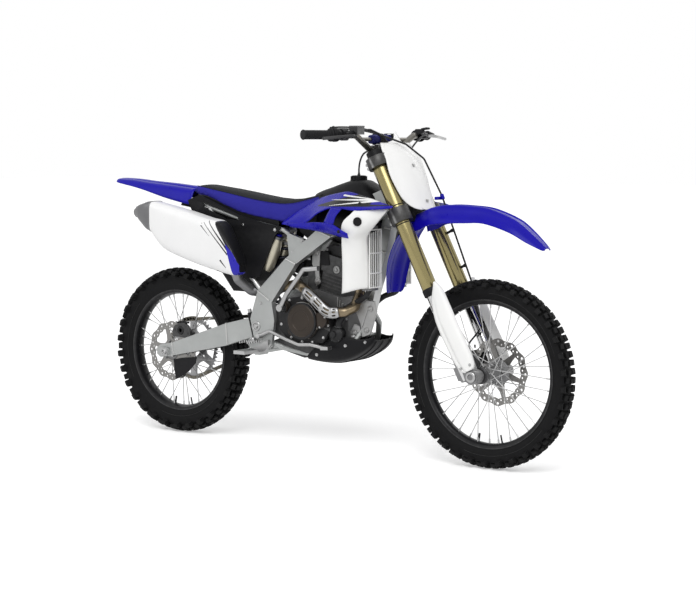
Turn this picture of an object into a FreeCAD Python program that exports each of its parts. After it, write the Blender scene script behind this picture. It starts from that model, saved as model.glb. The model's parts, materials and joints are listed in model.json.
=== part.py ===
import FreeCAD, Part
import math
import os
import Sketcher

# Motocross bike, millimetres. X runs forward, Y to the rider's left, Z up.
# Every shape is drawn from the spot below the rear axle and then moved so
# that the rider's seat point is the origin.
# Points of the bodywork are shares of the wheelbase along X, of body_half
# across Y and of seat_height up Z. The fork group is drawn along the
# steering axis from the height of the front axle.

os.makedirs("parts", exist_ok=True)
doc = FreeCAD.newDocument("motocross_bike")
sheet = doc.addObject("Spreadsheet::Sheet", "Sizes")

sizes = {
    # stance
    "wheelbase": 1468,
    "seat_height": 960,
    "body_half": 110,
    "rider_x": 580,
    "running_gap": 0.3,
    # wheels
    "front_wheel_radius": 347,
    "front_tyre_half": 43,
    "front_bead_radius": 271,
    "front_rim_half": 21,
    "front_rim_depth": 16,
    "front_hub_half": 58,
    "front_flange_radius": 30,
    "front_disc_radius": 125,
    "rear_wheel_radius": 338,
    "rear_tyre_half": 53,
    "rear_bead_radius": 246,
    "rear_rim_half": 28,
    "rear_rim_depth": 16,
    "rear_hub_half": 62,
    "rear_flange_radius": 38,
    "rear_disc_radius": 122,
    "spoke_radius": 2,
    "spoke_count": 36,
    "disc_thickness": 4,
    "axle_radius": 10,
    "bead_wall": 6,
    # knobs of both tyres
    "lug_pairs": 40,
    "front_lug_height": 10,
    "rear_lug_height": 13,
    # chain drive
    "sprocket_pitch_radius": 124,
    "front_sprocket_radius": 33,
    "sprocket_tooth": 5,
    "sprocket_thickness": 5,
    "sprocket_teeth": 49,
    "chain_y": 71,
    "chain_plate_height": 15,
    "chain_plate": 2.5,
    "chain_inner_gap": 9,
    "countershaft_x": 560,
    "countershaft_z": 478,
    # frame
    "caster": 26.83,
    "beam_width": 28,
    "tube_radius": 11,
    "down_tube_width": 44,
    "head_pipe_radius": 30,
    "stem_radius": 14,
    "skin": 4,
    "spring_radius": 36,
    "shaft_radius": 13,
    "reservoir_radius": 25,
    # engine and exhaust
    "arm_depth": 90,
    "case_half": 75,
    "case_left": 60,
    "cover_depth": 43,
    "clutch_radius": 70,
    "clutch_depth": 24,
    "pump_radius": 30,
    "kick_boss_radius": 20,
    "cylinder_half": 52,
    "pipe_radius": 19,
    "lever_radius": 7,
    # bodywork
    "cap_radius": 32,
    "cap_height": 20,
    # fork
    "fork_half": 105,
    "leg_offset": 21,
    "axle_lead": 31,
    "outer_tube_radius": 29,
    "inner_tube_radius": 24,
    "outer_tube_start": 345,
    "fork_top": 912,
    "clamp_low": 625,
    "clamp_low_height": 55,
    "clamp_high": 850,
    "clamp_high_height": 40,
    "clamp_wall": 12,
    "axle_lug_radius": 26,
    "axle_lug_width": 46,
    "guard_width": 84,
    "guard_start": 40.5,
    "guard_length": 300,
    "bar_radius": 12,
    "bar_bore": 7.5,
    "bar_rise": 58,
    "bar_sweep": 72,
    "pad_gap": 1.5,
    "hose_radius": 3.5,
    "hose_bend": 24,
    "bar_half": 405,
    "grip_radius": 17,
    "grip_length": 122,
}
for row, (name, value) in enumerate(sizes.items(), start=1):
    sheet.set("A%d" % row, name)
    sheet.set("B%d" % row, str(value))
    sheet.setAlias("B%d" % row, name)
doc.recompute()
dim = {name: float(sheet.get(name)) for name in sizes}

wheelbase = dim["wheelbase"]
seat_height = dim["seat_height"]
body_half = dim["body_half"]
tilt = math.radians(dim["caster"])
across = FreeCAD.Vector(0, 1, 0)
level = FreeCAD.Vector(0, 0, 0)
mirror_plane = FreeCAD.Vector(0, 1, 0)

nodes = {}


# small helpers

def at(x_share, y_share, z_share):
    return FreeCAD.Vector(wheelbase * x_share, body_half * y_share, seat_height * z_share)


def flat_points(shares, y=0):
    return [FreeCAD.Vector(wheelbase * x, y, seat_height * z) for x, z in shares]


def place(item, x="0", y="0", z="0"):
    item.setExpression("Placement.Base.x", x + " - Sizes.rider_x")
    item.setExpression("Placement.Base.y", y)
    item.setExpression("Placement.Base.z", z + " - Sizes.seat_height")
    return item


def keep(name, shape):
    item = doc.addObject("Part::Feature", name)
    item.Label = name
    item.Shape = shape
    nodes[name] = place(item)
    return item


def mirrored(shape):
    return shape.mirror(level, mirror_plane)


def pair(shape):
    return Part.makeCompound([shape, mirrored(shape)])


def slab(points, y_start, y_end):
    loop = [FreeCAD.Vector(point.x, y_start, point.z) for point in points + points[:1]]
    return Part.Face(Part.makePolygon(loop)).extrude(across * (y_end - y_start))


def prism(shares, y_start, y_end):
    return slab(flat_points(shares), y_start, y_end)


def rod(start, end, radius):
    line = end - start
    return Part.makeCylinder(radius, line.Length, start, line)


def tube_path(points, bend):
    # straight runs joined by tangent arcs of the bend radius
    edges = []
    last = points[0]
    for before, corner, after in zip(points, points[1:], points[2:]):
        back = (before - corner).normalize()
        ahead = (after - corner).normalize()
        half = back.getAngle(ahead) / 2
        reach = bend / math.tan(half)
        start = corner + back * reach
        end = corner + ahead * reach
        middle_line = (back + ahead).normalize()
        middle = corner + middle_line * (bend / math.sin(half) - bend)
        edges.append(Part.LineSegment(last, start).toShape())
        edges.append(Part.Arc(start, middle, end).toShape())
        last = end
    edges.append(Part.LineSegment(last, points[-1]).toShape())
    return Part.Wire(edges)


def bent_tube(points, radius, bend):
    path = tube_path(points, bend)
    first = points[1] - points[0]
    section = Part.Wire(Part.makeCircle(radius, points[0], first))
    return path.makePipeShell([section], True, False)


def smooth_edge(points):
    curve = Part.BSplineCurve()
    curve.interpolate(points)
    return curve.toShape()


def shell_section(outer, inner):
    # closed thin section between an outer and an inner curve
    edges = [
        smooth_edge(outer),
        Part.LineSegment(outer[-1], inner[-1]).toShape(),
        smooth_edge(list(reversed(inner))),
        Part.LineSegment(inner[0], outer[0]).toShape(),
    ]
    return Part.Wire(edges)


def oval_wire(centre, half_y, half_z, corner_share=0.5):
    # rounded rectangle across the bike, its corners rounded by the share given
    radius = min(half_y, half_z) * corner_share
    inner_y = half_y - radius
    inner_z = half_z - radius
    slant = radius * math.sin(math.radians(45))
    corners = [(1, 1), (-1, 1), (-1, -1), (1, -1)]
    edges = []
    ends = []
    for sign_y, sign_z in corners:
        middle = centre + FreeCAD.Vector(0, sign_y * inner_y, sign_z * inner_z)
        side = middle + FreeCAD.Vector(0, sign_y * radius, 0)
        top = middle + FreeCAD.Vector(0, 0, sign_z * radius)
        arc_middle = middle + FreeCAD.Vector(0, sign_y * slant, sign_z * slant)
        if sign_y * sign_z > 0:
            ends.append((side, arc_middle, top))
        else:
            ends.append((top, arc_middle, side))
    for index, (start, arc_middle, end) in enumerate(ends):
        following = ends[(index + 1) % len(ends)][0]
        edges.append(Part.Arc(start, arc_middle, end).toShape())
        edges.append(Part.LineSegment(end, following).toShape())
    return Part.Wire(edges)


def body_sketch(body, name, role, points):
    plane = [item for item in body.Origin.OriginFeatures if item.Role == role][0]
    sketch = body.newObject("Sketcher::SketchObject", name)
    sketch.AttachmentSupport = [(plane, "")]
    sketch.MapMode = "FlatFace"
    spots = [(float(sheet.evalExpression(across_text)), float(sheet.evalExpression(up_text)))
             for across_text, up_text in points]
    count = len(spots)
    for index in range(count):
        start = FreeCAD.Vector(*spots[index], 0)
        end = FreeCAD.Vector(*spots[(index + 1) % count], 0)
        sketch.addGeometry(Part.LineSegment(start, end), False)
    for index in range(count):
        sketch.addConstraint(Sketcher.Constraint("Coincident", index, 2, (index + 1) % count, 1))
    for index, (across_text, up_text) in enumerate(points):
        for kind, text, value in (("DistanceX", across_text, spots[index][0]),
                                  ("DistanceY", up_text, spots[index][1])):
            number = sketch.addConstraint(Sketcher.Constraint(kind, -1, 1, index, 1, value))
            sketch.setExpression("Constraints[%d]" % number, text)
    return sketch


def turned_body(name, points):
    # ring or drum turned about its own Y axis, from (radius, width) texts
    body = doc.addObject("PartDesign::Body", name)
    sketch = body_sketch(body, name + "_profile", "XY_Plane", points)
    turn = body.newObject("PartDesign::Revolution", name + "_turn")
    turn.Profile = sketch
    turn.ReferenceAxis = (sketch, ["V_Axis"])
    turn.Angle = 360
    return body


def keep_steered(name, shape):
    # drawn in steering coordinates: forward, left, up the axis
    item = doc.addObject("Part::Feature", name)
    item.Label = name
    item.Shape = shape
    item.Placement = FreeCAD.Placement(level, FreeCAD.Rotation(across, -dim["caster"]))
    item.setExpression("Placement.Rotation.Angle", "-Sizes.caster")
    reach = "(Sizes.leg_offset + Sizes.axle_lead)"
    nodes[name] = place(item, "Sizes.wheelbase - " + reach + " * cos(Sizes.caster * 1 deg)", "0",
                        "Sizes.front_wheel_radius - " + reach + " * sin(Sizes.caster * 1 deg)")
    return item


# where the steering axis runs

lead = dim["leg_offset"] + dim["axle_lead"]
axis_up = FreeCAD.Vector(-math.sin(tilt), 0, math.cos(tilt))
axis_out = FreeCAD.Vector(math.cos(tilt), 0, math.sin(tilt))
front_axle = FreeCAD.Vector(wheelbase, 0, dim["front_wheel_radius"])
rear_axle = FreeCAD.Vector(0, 0, dim["rear_wheel_radius"])
steer_foot = front_axle - axis_out * lead
head_low = dim["clamp_low"] + dim["clamp_low_height"] + dim["running_gap"]
head_high = dim["clamp_high"] - dim["running_gap"]


def on_axis(height):
    return steer_foot + axis_up * height


# wheels

# half of the tread: share of the half width, share of the tyre's depth, lean of the knob side
tread_shares = ((0.88, 0.78, 0.8), (0.54, 0.93, 0.35), (0.29, 0.985, 0.1))
# the wall between knobs and rim, as shares of the half width and of the depth
wall_shares = ((0.9, 0.25), (1.0, 0.55))


def tyre(side):
    # ring of flat facets; middle knobs and shoulder knobs take turns round it
    radius = dim[side + "_wheel_radius"]
    half = dim[side + "_tyre_half"]
    rim_half = dim[side + "_rim_half"]
    height = dim[side + "_lug_height"]
    facets = int(dim["lug_pairs"]) * 2
    step = 2 * math.pi / facets
    bead = dim[side + "_bead_radius"] / math.cos(step / 2)
    depth = radius - bead
    tops = []
    feet = []
    for share, rise, lean in tread_shares:
        tops.append((-half * share, bead + depth * rise))
        drop = height * (1 - lean * lean / 2)
        feet.append((-half * share + height * lean, bead + depth * rise - drop))
    tops = tops + [(-y, r) for y, r in reversed(tops)]
    feet = feet + [(-y, r) for y, r in reversed(feet)]
    wall = [(-rim_half, bead)] + [(-half * share, bead + depth * rise) for share, rise in wall_shares]
    faces = []

    def face(points, first, last):
        # flat facet through places (y, radius), each at the first or the last angle of the step
        loop = [FreeCAD.Vector(r * math.cos(a), y, r * math.sin(a))
                for (y, r), a in zip(points, [first, first, last, last])]
        faces.append(Part.Face(Part.makePolygon(loop + loop[:1])))

    for index in range(facets):
        first = index * step
        last = first + step
        raised = (2,) if index % 2 else (0, 4)
        for strip in range(5):
            line = tops if strip in raised else feet
            face([line[strip], line[strip + 1], line[strip + 1], line[strip]], first, last)
            if strip in raised:
                for edge in (strip, strip + 1):
                    face([tops[edge], feet[edge], feet[edge], tops[edge]], first, last)
                for angle in (first, last):
                    face([tops[strip], tops[strip + 1], feet[strip + 1], feet[strip]], angle, angle)
        lower = [feet[0]] + wall[::-1]
        for (low, high) in zip(lower, lower[1:]):
            face([low, high, high, low], first, last)
            face([(-low[0], low[1]), (-high[0], high[1]), (-high[0], high[1]),
                (-low[0], low[1])], first, last)
        face([wall[0], (rim_half, bead), (rim_half, bead), wall[0]], first, last)
    shell = Part.makeShell(faces)
    shell.sewShape()
    solid = Part.makeSolid(shell)
    if solid.Volume < 0:
        solid.reverse()
    name = side + "_tyre"
    item = doc.addObject("Part::Feature", name)
    item.Label = name
    item.Shape = solid
    nodes[name] = item
    return item


def wire_wheel(name, side):
    bead = dim[side + "_bead_radius"]
    rim_half = dim[side + "_rim_half"]
    depth = dim[side + "_rim_depth"]
    hub_half = dim[side + "_hub_half"]
    sprocket_seat = dim["chain_y"] - dim["sprocket_thickness"] / 2
    hub_left = hub_half if side == "front" else sprocket_seat
    flange = dim[side + "_flange_radius"]
    wall = dim["bead_wall"]
    bore = dim["axle_radius"] + dim["running_gap"]
    rim_points = [(bead, -rim_half), (bead, rim_half), (bead - wall, rim_half),
                  (bead - depth, rim_half * 0.5), (bead - depth, -rim_half * 0.5), (bead - wall, -rim_half)]
    hub_points = [(bore, -hub_half), (bore, hub_left), (bore + wall * 2, hub_left),
        (bore + wall * 2, hub_half * 0.66),
                  (flange, hub_half * 0.62), (flange, hub_half * 0.5), (bore + wall * 2, hub_half * 0.42),
                  (bore + wall * 2, -hub_half * 0.42), (flange, -hub_half * 0.5),
                  (flange, -hub_half * 0.62),
                  (bore + wall * 2, -hub_half * 0.66), (bore + wall * 2, -hub_half)]
    rings = []
    for points in (rim_points, hub_points):
        loop = Part.makePolygon([FreeCAD.Vector(r, y, 0) for r, y in points + points[:1]])
        rings.append(Part.Face(loop).revolve(level, across, 360))
    count = int(dim["spoke_count"])
    lacing = math.radians(62)
    spokes = []
    for index in range(count):
        turn = 2 * math.pi * index / count
        hand = 1 if index % 4 < 2 else -1
        flank = 1 if index % 2 else -1
        foot_turn = turn + hand * lacing
        foot_radius = flange - wall * 0.5
        foot_side = flank * hub_half * 0.56
        foot_x = foot_radius * math.cos(foot_turn)
        foot_z = foot_radius * math.sin(foot_turn)
        foot = FreeCAD.Vector(foot_x, foot_side, foot_z)
        tip_radius = bead - depth * 0.7
        tip_side = flank * rim_half * 0.25
        tip = FreeCAD.Vector(tip_radius * math.cos(turn), tip_side, tip_radius * math.sin(turn))
        spokes.append(rod(foot, tip, dim["spoke_radius"]))
    wheel = rings[0].multiFuse(rings[1:] + spokes)
    item = doc.addObject("Part::Feature", name)
    item.Label = name
    item.Shape = wheel
    nodes[name] = item
    return item


def brake_disc(name, side):
    points = [
        ("Sizes.axle_radius + Sizes.running_gap", "Sizes.disc_thickness / 2"),
        ("Sizes.%s_disc_radius" % side, "Sizes.disc_thickness / 2"),
        ("Sizes.%s_disc_radius" % side, "-Sizes.disc_thickness / 2"),
        ("Sizes.axle_radius + Sizes.running_gap", "-Sizes.disc_thickness / 2"),
    ]
    body = turned_body(name, points)
    nodes[name] = body
    return body


def at_front_axle(item, y="0"):
    return place(item, "Sizes.wheelbase", y, "Sizes.front_wheel_radius")


def at_rear_axle(item, y="0"):
    return place(item, "0", y, "Sizes.rear_wheel_radius")


at_front_axle(tyre("front"))
at_front_axle(wire_wheel("front_wire_wheel", "front"))
at_front_axle(brake_disc("front_brake_disc", "front"), "Sizes.front_hub_half + Sizes.disc_thickness / 2")
at_rear_axle(tyre("rear"))
at_rear_axle(wire_wheel("rear_wire_wheel", "rear"))
at_rear_axle(brake_disc("rear_brake_disc", "rear"), "-Sizes.rear_hub_half - Sizes.disc_thickness / 2")


# chain drive on the left

def rear_sprocket():
    teeth = int(dim["sprocket_teeth"])
    tip = dim["sprocket_pitch_radius"] + dim["sprocket_tooth"] * 0.6
    root = dim["sprocket_pitch_radius"] - dim["sprocket_tooth"]
    step = 2 * math.pi / teeth
    points = []
    for index in range(teeth):
        for radius, lag in ((root, -0.3), (tip, -0.12), (tip, 0.12), (root, 0.3)):
            turn = (index + lag) * step
            points.append(FreeCAD.Vector(radius * math.cos(turn), 0, radius * math.sin(turn)))
    thickness = across * dim["sprocket_thickness"]
    shape = Part.Face(Part.makePolygon(points + points[:1])).extrude(thickness)
    bore = dim["axle_radius"] + dim["running_gap"]
    shape = shape.cut(Part.makeCylinder(bore, dim["sprocket_thickness"], level, across))
    item = doc.addObject("Part::Feature", "rear_sprocket")
    item.Label = "rear_sprocket"
    item.Shape = shape
    nodes["rear_sprocket"] = item
    return item


at_rear_axle(rear_sprocket(), "Sizes.chain_y - Sizes.sprocket_thickness / 2")


def belt_face(grow):
    # outline of the chain, grown or shrunk from its pitch line, with a flat for each few links
    countershaft = FreeCAD.Vector(dim["countershaft_x"], 0, dim["countershaft_z"])
    line = countershaft - rear_axle
    big = dim["sprocket_pitch_radius"] + grow
    small = dim["front_sprocket_radius"] + grow
    lean = math.acos((big - small) / line.Length)
    base = math.atan2(line.z, line.x)
    points = []
    for centre, radius, start, end, steps in ((rear_axle, big, base + lean, base + 2 * math.pi - lean, 16),
                                              (countershaft, small, base - lean, base + lean, 8)):
        reach = radius / math.cos((end - start) / steps / 2)
        for index in range(steps + 1):
            angle = start + (end - start) * index / steps
            points.append(centre + FreeCAD.Vector(reach * math.cos(angle), 0, reach * math.sin(angle)))
    return Part.Face(Part.makePolygon(points + points[:1]))


def chain():
    half = dim["chain_plate_height"] / 2
    gap = dim["chain_inner_gap"]
    plate = dim["chain_plate"]
    band = belt_face(half).cut(belt_face(-half))
    start = dim["chain_y"] - gap / 2 - plate
    whole = band.extrude(across * (gap + plate * 2))
    whole.translate(across * start)
    sweep = dim["sprocket_pitch_radius"] + dim["sprocket_tooth"] * 2
    corners = []
    for index in range(16):
        angle = 2 * math.pi * index / 16
        corners.append(rear_axle + FreeCAD.Vector(sweep * math.cos(angle), 0, sweep * math.sin(angle)))
    keep("chain", whole.cut(slab(corners, start + plate, start + plate + gap)))


chain()


# frame

def box_loft(stations):
    # straight-sided beam through rectangles given as four points
    wires = [Part.makePolygon(points + points[:1]) for points in stations]
    return Part.makeLoft(wires, True, True)


# where beams and down tube meet the head: forward in pipe radii, share of the pipe's length
beam_head_shares = ((-1.9167, 0.6712), (-1.6333, 0.1423))
beam_shares = (((0.6165, 0.9948), (0.6574, 0.8979)), ((0.5177, 0.8854), (0.5654, 0.8625)),
    ((0.4176, 0.7656), (0.453, 0.7479)), ((0.3283, 0.6344), (0.3753, 0.5906)), ((0.3079, 0.5208),
    (0.3883, 0.5208)), ((0.3202, 0.4427), (0.3815, 0.4427)), ((0.3542, 0.401), (0.3787, 0.4115)))
beam_side_shares = (0.30, 0.66, 0.94, 0.99, 1.0, 1.07, 1.07, 1.07)
beam_width_shares = (1, 1, 1, 1, 1, 0.5, 0.5, 0.5)


def head_spot(forward, up):
    low = on_axis(head_low + (head_high - head_low) * up)
    return low + axis_out * (dim["head_pipe_radius"] * forward)


def frame_beam():
    stations = []
    rows = [[head_spot(*share) for share in beam_head_shares]]
    rows += [flat_points(row) for row in beam_shares]
    for (rear, ahead), side, share in zip(rows, beam_side_shares, beam_width_shares):
        outer = across * (-body_half * side)
        inner = outer + across * (dim["beam_width"] * share)
        stations.append([rear + outer, ahead + outer, ahead + inner, rear + inner])
    return box_loft(stations)


def main_frame():
    head = Part.makeCylinder(dim["head_pipe_radius"], head_high - head_low, on_axis(head_low), axis_up)
    bore_radius = dim["stem_radius"] + dim["running_gap"]
    bore = Part.makeCylinder(bore_radius, head_high - head_low, on_axis(head_low), axis_up)
    beam = frame_beam()
    half = dim["down_tube_width"] / 2
    rows = [[head_spot(*share) for share in row] for row in down_head_shares]
    rows += [flat_points(row) for row in down_shares]
    sides = [across * -half, across * half]
    down = box_loft([[rear + sides[0], ahead + sides[0], ahead + sides[1], rear + sides[1]]
                     for rear, ahead in rows])
    rail_shares = ((0.6369, -0.0909, 0.5833), (0.6471, -0.4091, 0.5208), (0.6301, -0.6727, 0.4583),
        (0.5858, -0.6727, 0.3917), (0.4768, -0.6727, 0.3885), (0.4019, -0.7273, 0.4083),
        (0.3678, -0.8636, 0.4271))
    rail = bent_tube([at(*share) for share in rail_shares], dim["tube_radius"], dim["tube_radius"] * 2)
    pivot_cross = rod(at(*(0.3713, -0.9091, 0.4146)), at(*(0.3713, 0.9091, 0.4146)), dim["tube_radius"])
    top_cross = rod(at(*(0.4257, -0.9091, 0.7656)), at(*(0.4257, 0.9091, 0.7656)), dim["tube_radius"])
    engine_cross = rod(at(*(0.6253, -0.7273, 0.4708)), at(*(0.6253, 0.7273, 0.4708)),
                       dim["tube_radius"] * 0.7)
    gusset = prism(gusset_shares, -body_half * 0.84, -body_half * 0.66)
    parts = [beam, mirrored(beam), down, rail, mirrored(rail), pivot_cross, top_cross, engine_cross,
             gusset, mirrored(gusset)]
    return head.multiFuse(parts).cut(bore)


down_head_shares = (((-2.1467, 0.4203), (-0.6633, 0.1948)), ((-2.9567, 0.2279), (-1.8733, 0.0584)))
down_shares = (((0.671, 0.8125), (0.7003, 0.8042)), ((0.639, 0.6542), (0.6662, 0.651)),
    ((0.6233, 0.5677), (0.6505, 0.5625)))
gusset_shares = ((0.4169, 0.874), (0.4687, 0.85), (0.4905, 0.8333), (0.4462, 0.7812), (0.4257, 0.7708))
frame_shape = main_frame()
keep("frame", frame_shape)


def subframe():
    rail = bent_tube([at(*share) for share in ((0.4237, -0.7455, 0.8667), (0.3985, -0.7455, 0.8833),
        (0.2452, -0.7455, 0.926), (0.0879, -0.7273, 0.9941))],
                     dim["tube_radius"] * 0.8, dim["tube_radius"] * 2)
    strut = bent_tube([at(*share) for share in ((0.3372, -0.8, 0.6229), (0.2909, -0.8, 0.6948),
        (0.2044, -0.8, 0.849), (0.1512, -0.7636, 0.9604))],
                      dim["tube_radius"] * 0.8, dim["tube_radius"] * 2)
    cross = rod(at(*(0.0877, -0.7273, 0.9952)), at(*(0.0877, 0.7273, 0.9952)), dim["tube_radius"] * 0.8)
    parts = [strut, mirrored(rail), mirrored(strut), cross]
    return rail.multiFuse(parts).cut(frame_shape)


subframe_shape = subframe()
keep("subframe", subframe_shape)


# swingarm with the rear axle, shock and linkage

# share of the way from axle to pivot, height above that line in arm depths
arm_shares = ((1.0, 0.3333), (0.875, 0.4833), (0.6583, 0.5233), (0.0667, 0.3356), (-0.0625, 0.4028),
    (-0.1, 0.3022), (-0.1, 0.0133), (-0.0625, -0.175), (0.0813, -0.2636), (0.6562, -0.4625),
    (0.9646, -0.3703), (1.0521, -0.3208), (1.0625, 0.0417))


def arm_point(ahead, rise):
    pivot = at(*(0.327, 0.0, 0.4896))
    return rear_axle + (pivot - rear_axle) * ahead + FreeCAD.Vector(0, 0, dim["arm_depth"] * rise)


def swingarm():
    inner = body_half * 0.727
    outer = body_half * 1.07 - dim["beam_width"] * 0.5 - dim["running_gap"]
    arm = slab([arm_point(*share) for share in arm_shares], -outer, -inner)
    cross_shares = ((0.7188, -0.3097), (0.8167, -0.4533), (0.8167, 0.2689), (0.7188, 0.4125))
    cross = slab([arm_point(*share) for share in cross_shares], -inner, inner)
    pivot = at(*(0.327, 0.0, 0.4896))
    pivot_tube = Part.makeCylinder(dim["tube_radius"] * 1.8, inner * 2, pivot - across * inner, across)
    axle_half = outer + dim["beam_width"] * 0.3
    axle = Part.makeCylinder(dim["axle_radius"], axle_half * 2, rear_axle - across * axle_half, across)
    nut = Part.makeCylinder(dim["axle_radius"] * 1.7, axle_half - outer, rear_axle + across * outer, across)
    return arm.multiFuse([mirrored(arm), cross, pivot_tube, axle, nut, mirrored(nut)])


swingarm_shape = swingarm()
keep("swingarm", swingarm_shape)


def rear_shock():
    top = at(*(0.3787, 0.0, 0.8729))
    low = arm_point(*(0.8917, -0.3078))
    line = (low - top).normalize()
    length = (low - top).Length
    spring = rod(top + line * (length * 0.1), top + line * (length * 0.74), dim["spring_radius"])
    shaft = rod(top, low, dim["shaft_radius"])
    tank_top = at(*(0.376, -0.6, 0.851))
    tank_low = at(*(0.3345, -0.6, 0.6969))
    tank = rod(tank_top, tank_low, dim["reservoir_radius"])
    bridge = rod(at(*(0.3787, 0.0, 0.8583)), at(*(0.376, -0.5455, 0.8396)), dim["shaft_radius"])
    eye_half = across * (body_half * 0.18)
    eye = rod(low - eye_half, low + eye_half, dim["shaft_radius"] * 1.3)
    head = rod(at(*(0.3787, -0.2182, 0.8708)), at(*(0.3787, 0.2182, 0.8708)), dim["shaft_radius"] * 1.3)
    return spring.multiFuse([shaft, tank, bridge, eye, head])


shock_shape = rear_shock()
keep("rear_shock", shock_shape)


def shock_linkage():
    rocker_shares = ((0.7229, -0.3192), (0.8167, -0.4567), (0.9271, -0.3931), (0.9333, -0.7022),
        (0.8854, -1.2097), (0.8333, -1.1444))
    rocker_half = dim["spring_radius"] * 0.7
    rocker = slab([arm_point(*share) for share in rocker_shares], -rocker_half, rocker_half)
    link = rod(arm_point(*(0.8854, -1.0542)), at(*(0.3713, 0.0, 0.4)), dim["shaft_radius"] * 0.7)
    return rocker.fuse(link).cut(frame_shape).cut(shock_shape).cut(swingarm_shape)


keep("shock_linkage", shock_linkage())


# engine

# round the countershaft in sprocket radii, and the rest of the outline
case_rear_shares = ((0, 2.788), (-1.333, 1.273), (-1.333, -1.152), (0.303, -1.576))
crankcase_shares = ((0.4257, 0.4198), (0.5722, 0.4146), (0.6029, 0.4479), (0.6063, 0.4667),
    (0.6194, 0.4646), (0.6194, 0.4771), (0.6076, 0.4948), (0.6063, 0.5625), (0.5804, 0.625),
    (0.5041, 0.651), (0.4428, 0.6302))


def crankcase():
    countershaft = FreeCAD.Vector(dim["countershaft_x"], dim["case_left"], dim["countershaft_z"])
    unit = dim["front_sprocket_radius"]
    rear = [countershaft + FreeCAD.Vector(x, 0, z) * unit for x, z in case_rear_shares]
    block = slab(rear + flat_points(crankcase_shares), -dim["case_half"], dim["case_left"])
    inner = unit - dim["chain_plate_height"] / 2 - dim["running_gap"]
    reach = dim["chain_y"] + dim["chain_inner_gap"] - dim["case_left"]
    boss = Part.makeCylinder(inner, reach, countershaft, across)
    return block.fuse(boss)


crankcase_shape = crankcase()
keep("crankcase", crankcase_shape)


kick_share = (0.4298, 0.0, 0.5771)


def engine_covers():
    case = dim["case_half"]
    wall = dim["cover_depth"]
    right = prism(((0.406, 0.4896), (0.4087, 0.5833), (0.436, 0.6146), (0.4905, 0.625), (0.545, 0.5958),
        (0.5688, 0.5677), (0.5708, 0.5), (0.5484, 0.4479), (0.4905, 0.4302),
        (0.436, 0.4427)), -case - wall, -case)
    caps = []
    for spot, radius, depth in (((0.4884, 0.0, 0.5281), dim["clutch_radius"], dim["clutch_depth"]),
                                ((0.5463, 0.0, 0.5344), dim["pump_radius"], dim["clutch_depth"] * 0.7),
                                (kick_share, dim["kick_boss_radius"], dim["clutch_depth"] * 1.25)):
        caps.append(Part.makeCylinder(radius, depth, at(*spot) - across * (case + wall), across * -1))
    left = prism(((0.4169, 0.4688), (0.4189, 0.5833), (0.4768, 0.6198), (0.545, 0.6042),
        (0.579, 0.5417), (0.5722, 0.4583), (0.5177, 0.4167),
        (0.4428, 0.4271)), dim["case_left"], case + wall * 0.7)
    guard = prism(((0.3542, 0.4635), (0.4087, 0.4427), (0.421, 0.4688), (0.4223, 0.5521),
        (0.3815, 0.5583), (0.3542, 0.5333)), case + dim["skin"] * 1.5, case + dim["skin"] * 2.5)
    return Part.makeCompound([right.multiFuse(caps), left.fuse(guard)])


keep("engine_covers", engine_covers())


def cylinder():
    half = dim["cylinder_half"]
    base = prism(((0.5041, 0.651), (0.5804, 0.625), (0.5913, 0.7), (0.515, 0.726)), -half, half)
    head = prism(((0.5095, 0.7279), (0.5995, 0.6972), (0.6076, 0.7656),
        (0.5177, 0.7969)), -half * 1.08, half * 1.08)
    cover = prism(((0.5191, 0.7964), (0.6049, 0.7667), (0.6022, 0.8021), (0.5756, 0.825),
        (0.5381, 0.8281), (0.5232, 0.8177)), -half * 0.87, half * 0.87)
    throttle = prism(((0.436, 0.6927), (0.5123, 0.7188), (0.5163, 0.7812),
        (0.4428, 0.7552)), -half * 0.6, half * 0.6)
    return base.multiFuse([head, cover, throttle])


cylinder_shape = cylinder()
keep("cylinder", cylinder_shape)


# exhaust

# each row: place along X, top, bottom, half width, place across Y
muffler_shares = ((0.017, 0.9875, 0.8604, 0.4182, -1.6182), (0.062, 0.974, 0.7948, 0.4727, -1.6182),
    (0.1362, 0.95, 0.7552, 0.5091, -1.6091), (0.2044, 0.9229, 0.7271, 0.5, -1.5727),
    (0.252, 0.8781, 0.7083, 0.4545, -1.5364), (0.2895, 0.8073, 0.7, 0.3636, -1.5),
    (0.3106, 0.7521, 0.7104, 0.2182, -1.4727))
cap_shares = ((0.0167, 0.9885, 0.8615, 0.4273, -1.6182), (-0.0136, 0.9812, 0.8854, 0.3818, -1.6273),
    (-0.0409, 0.9667, 0.9208, 0.2364, -1.6364), (-0.0511, 0.9604, 0.9344, 0.1182, -1.6364))


def oval_loft(rows, roundness):
    wires = []
    for x, top, low, half, side in rows:
        centre = at(x, side, (top + low) / 2)
        wires.append(oval_wire(centre, body_half * half, seat_height * (top - low) / 2, roundness))
    return Part.makeLoft(wires, True, False)


muffler_shape = oval_loft(muffler_shares, 0.85)
keep("muffler", muffler_shape)
keep("muffler_cap", oval_loft(cap_shares, 0.85))


def exhaust_pipe():
    route = ((0.6022, 0.0, 0.7354), (0.6308, -0.1818, 0.7292), (0.6301, -0.4545, 0.6375),
        (0.6335, -0.8, 0.5896), (0.6165, -1.0909, 0.5719), (0.579, -1.2727, 0.5708),
        (0.5368, -1.2727, 0.6146), (0.4843, -1.0909, 0.6594), (0.436, -0.5636, 0.6667),
        (0.3822, -0.5364, 0.6479), (0.3202, -0.5364, 0.625), (0.2984, -0.8364, 0.6312),
        (0.2807, -1.2727, 0.6771), (0.2752, -1.4545, 0.7292))
    pipe = bent_tube([at(*share) for share in route], dim["pipe_radius"], dim["pipe_radius"] * 1.2)
    return pipe.cut(cylinder_shape).cut(muffler_shape)


keep("exhaust_pipe", exhaust_pipe())


# cooling

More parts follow.
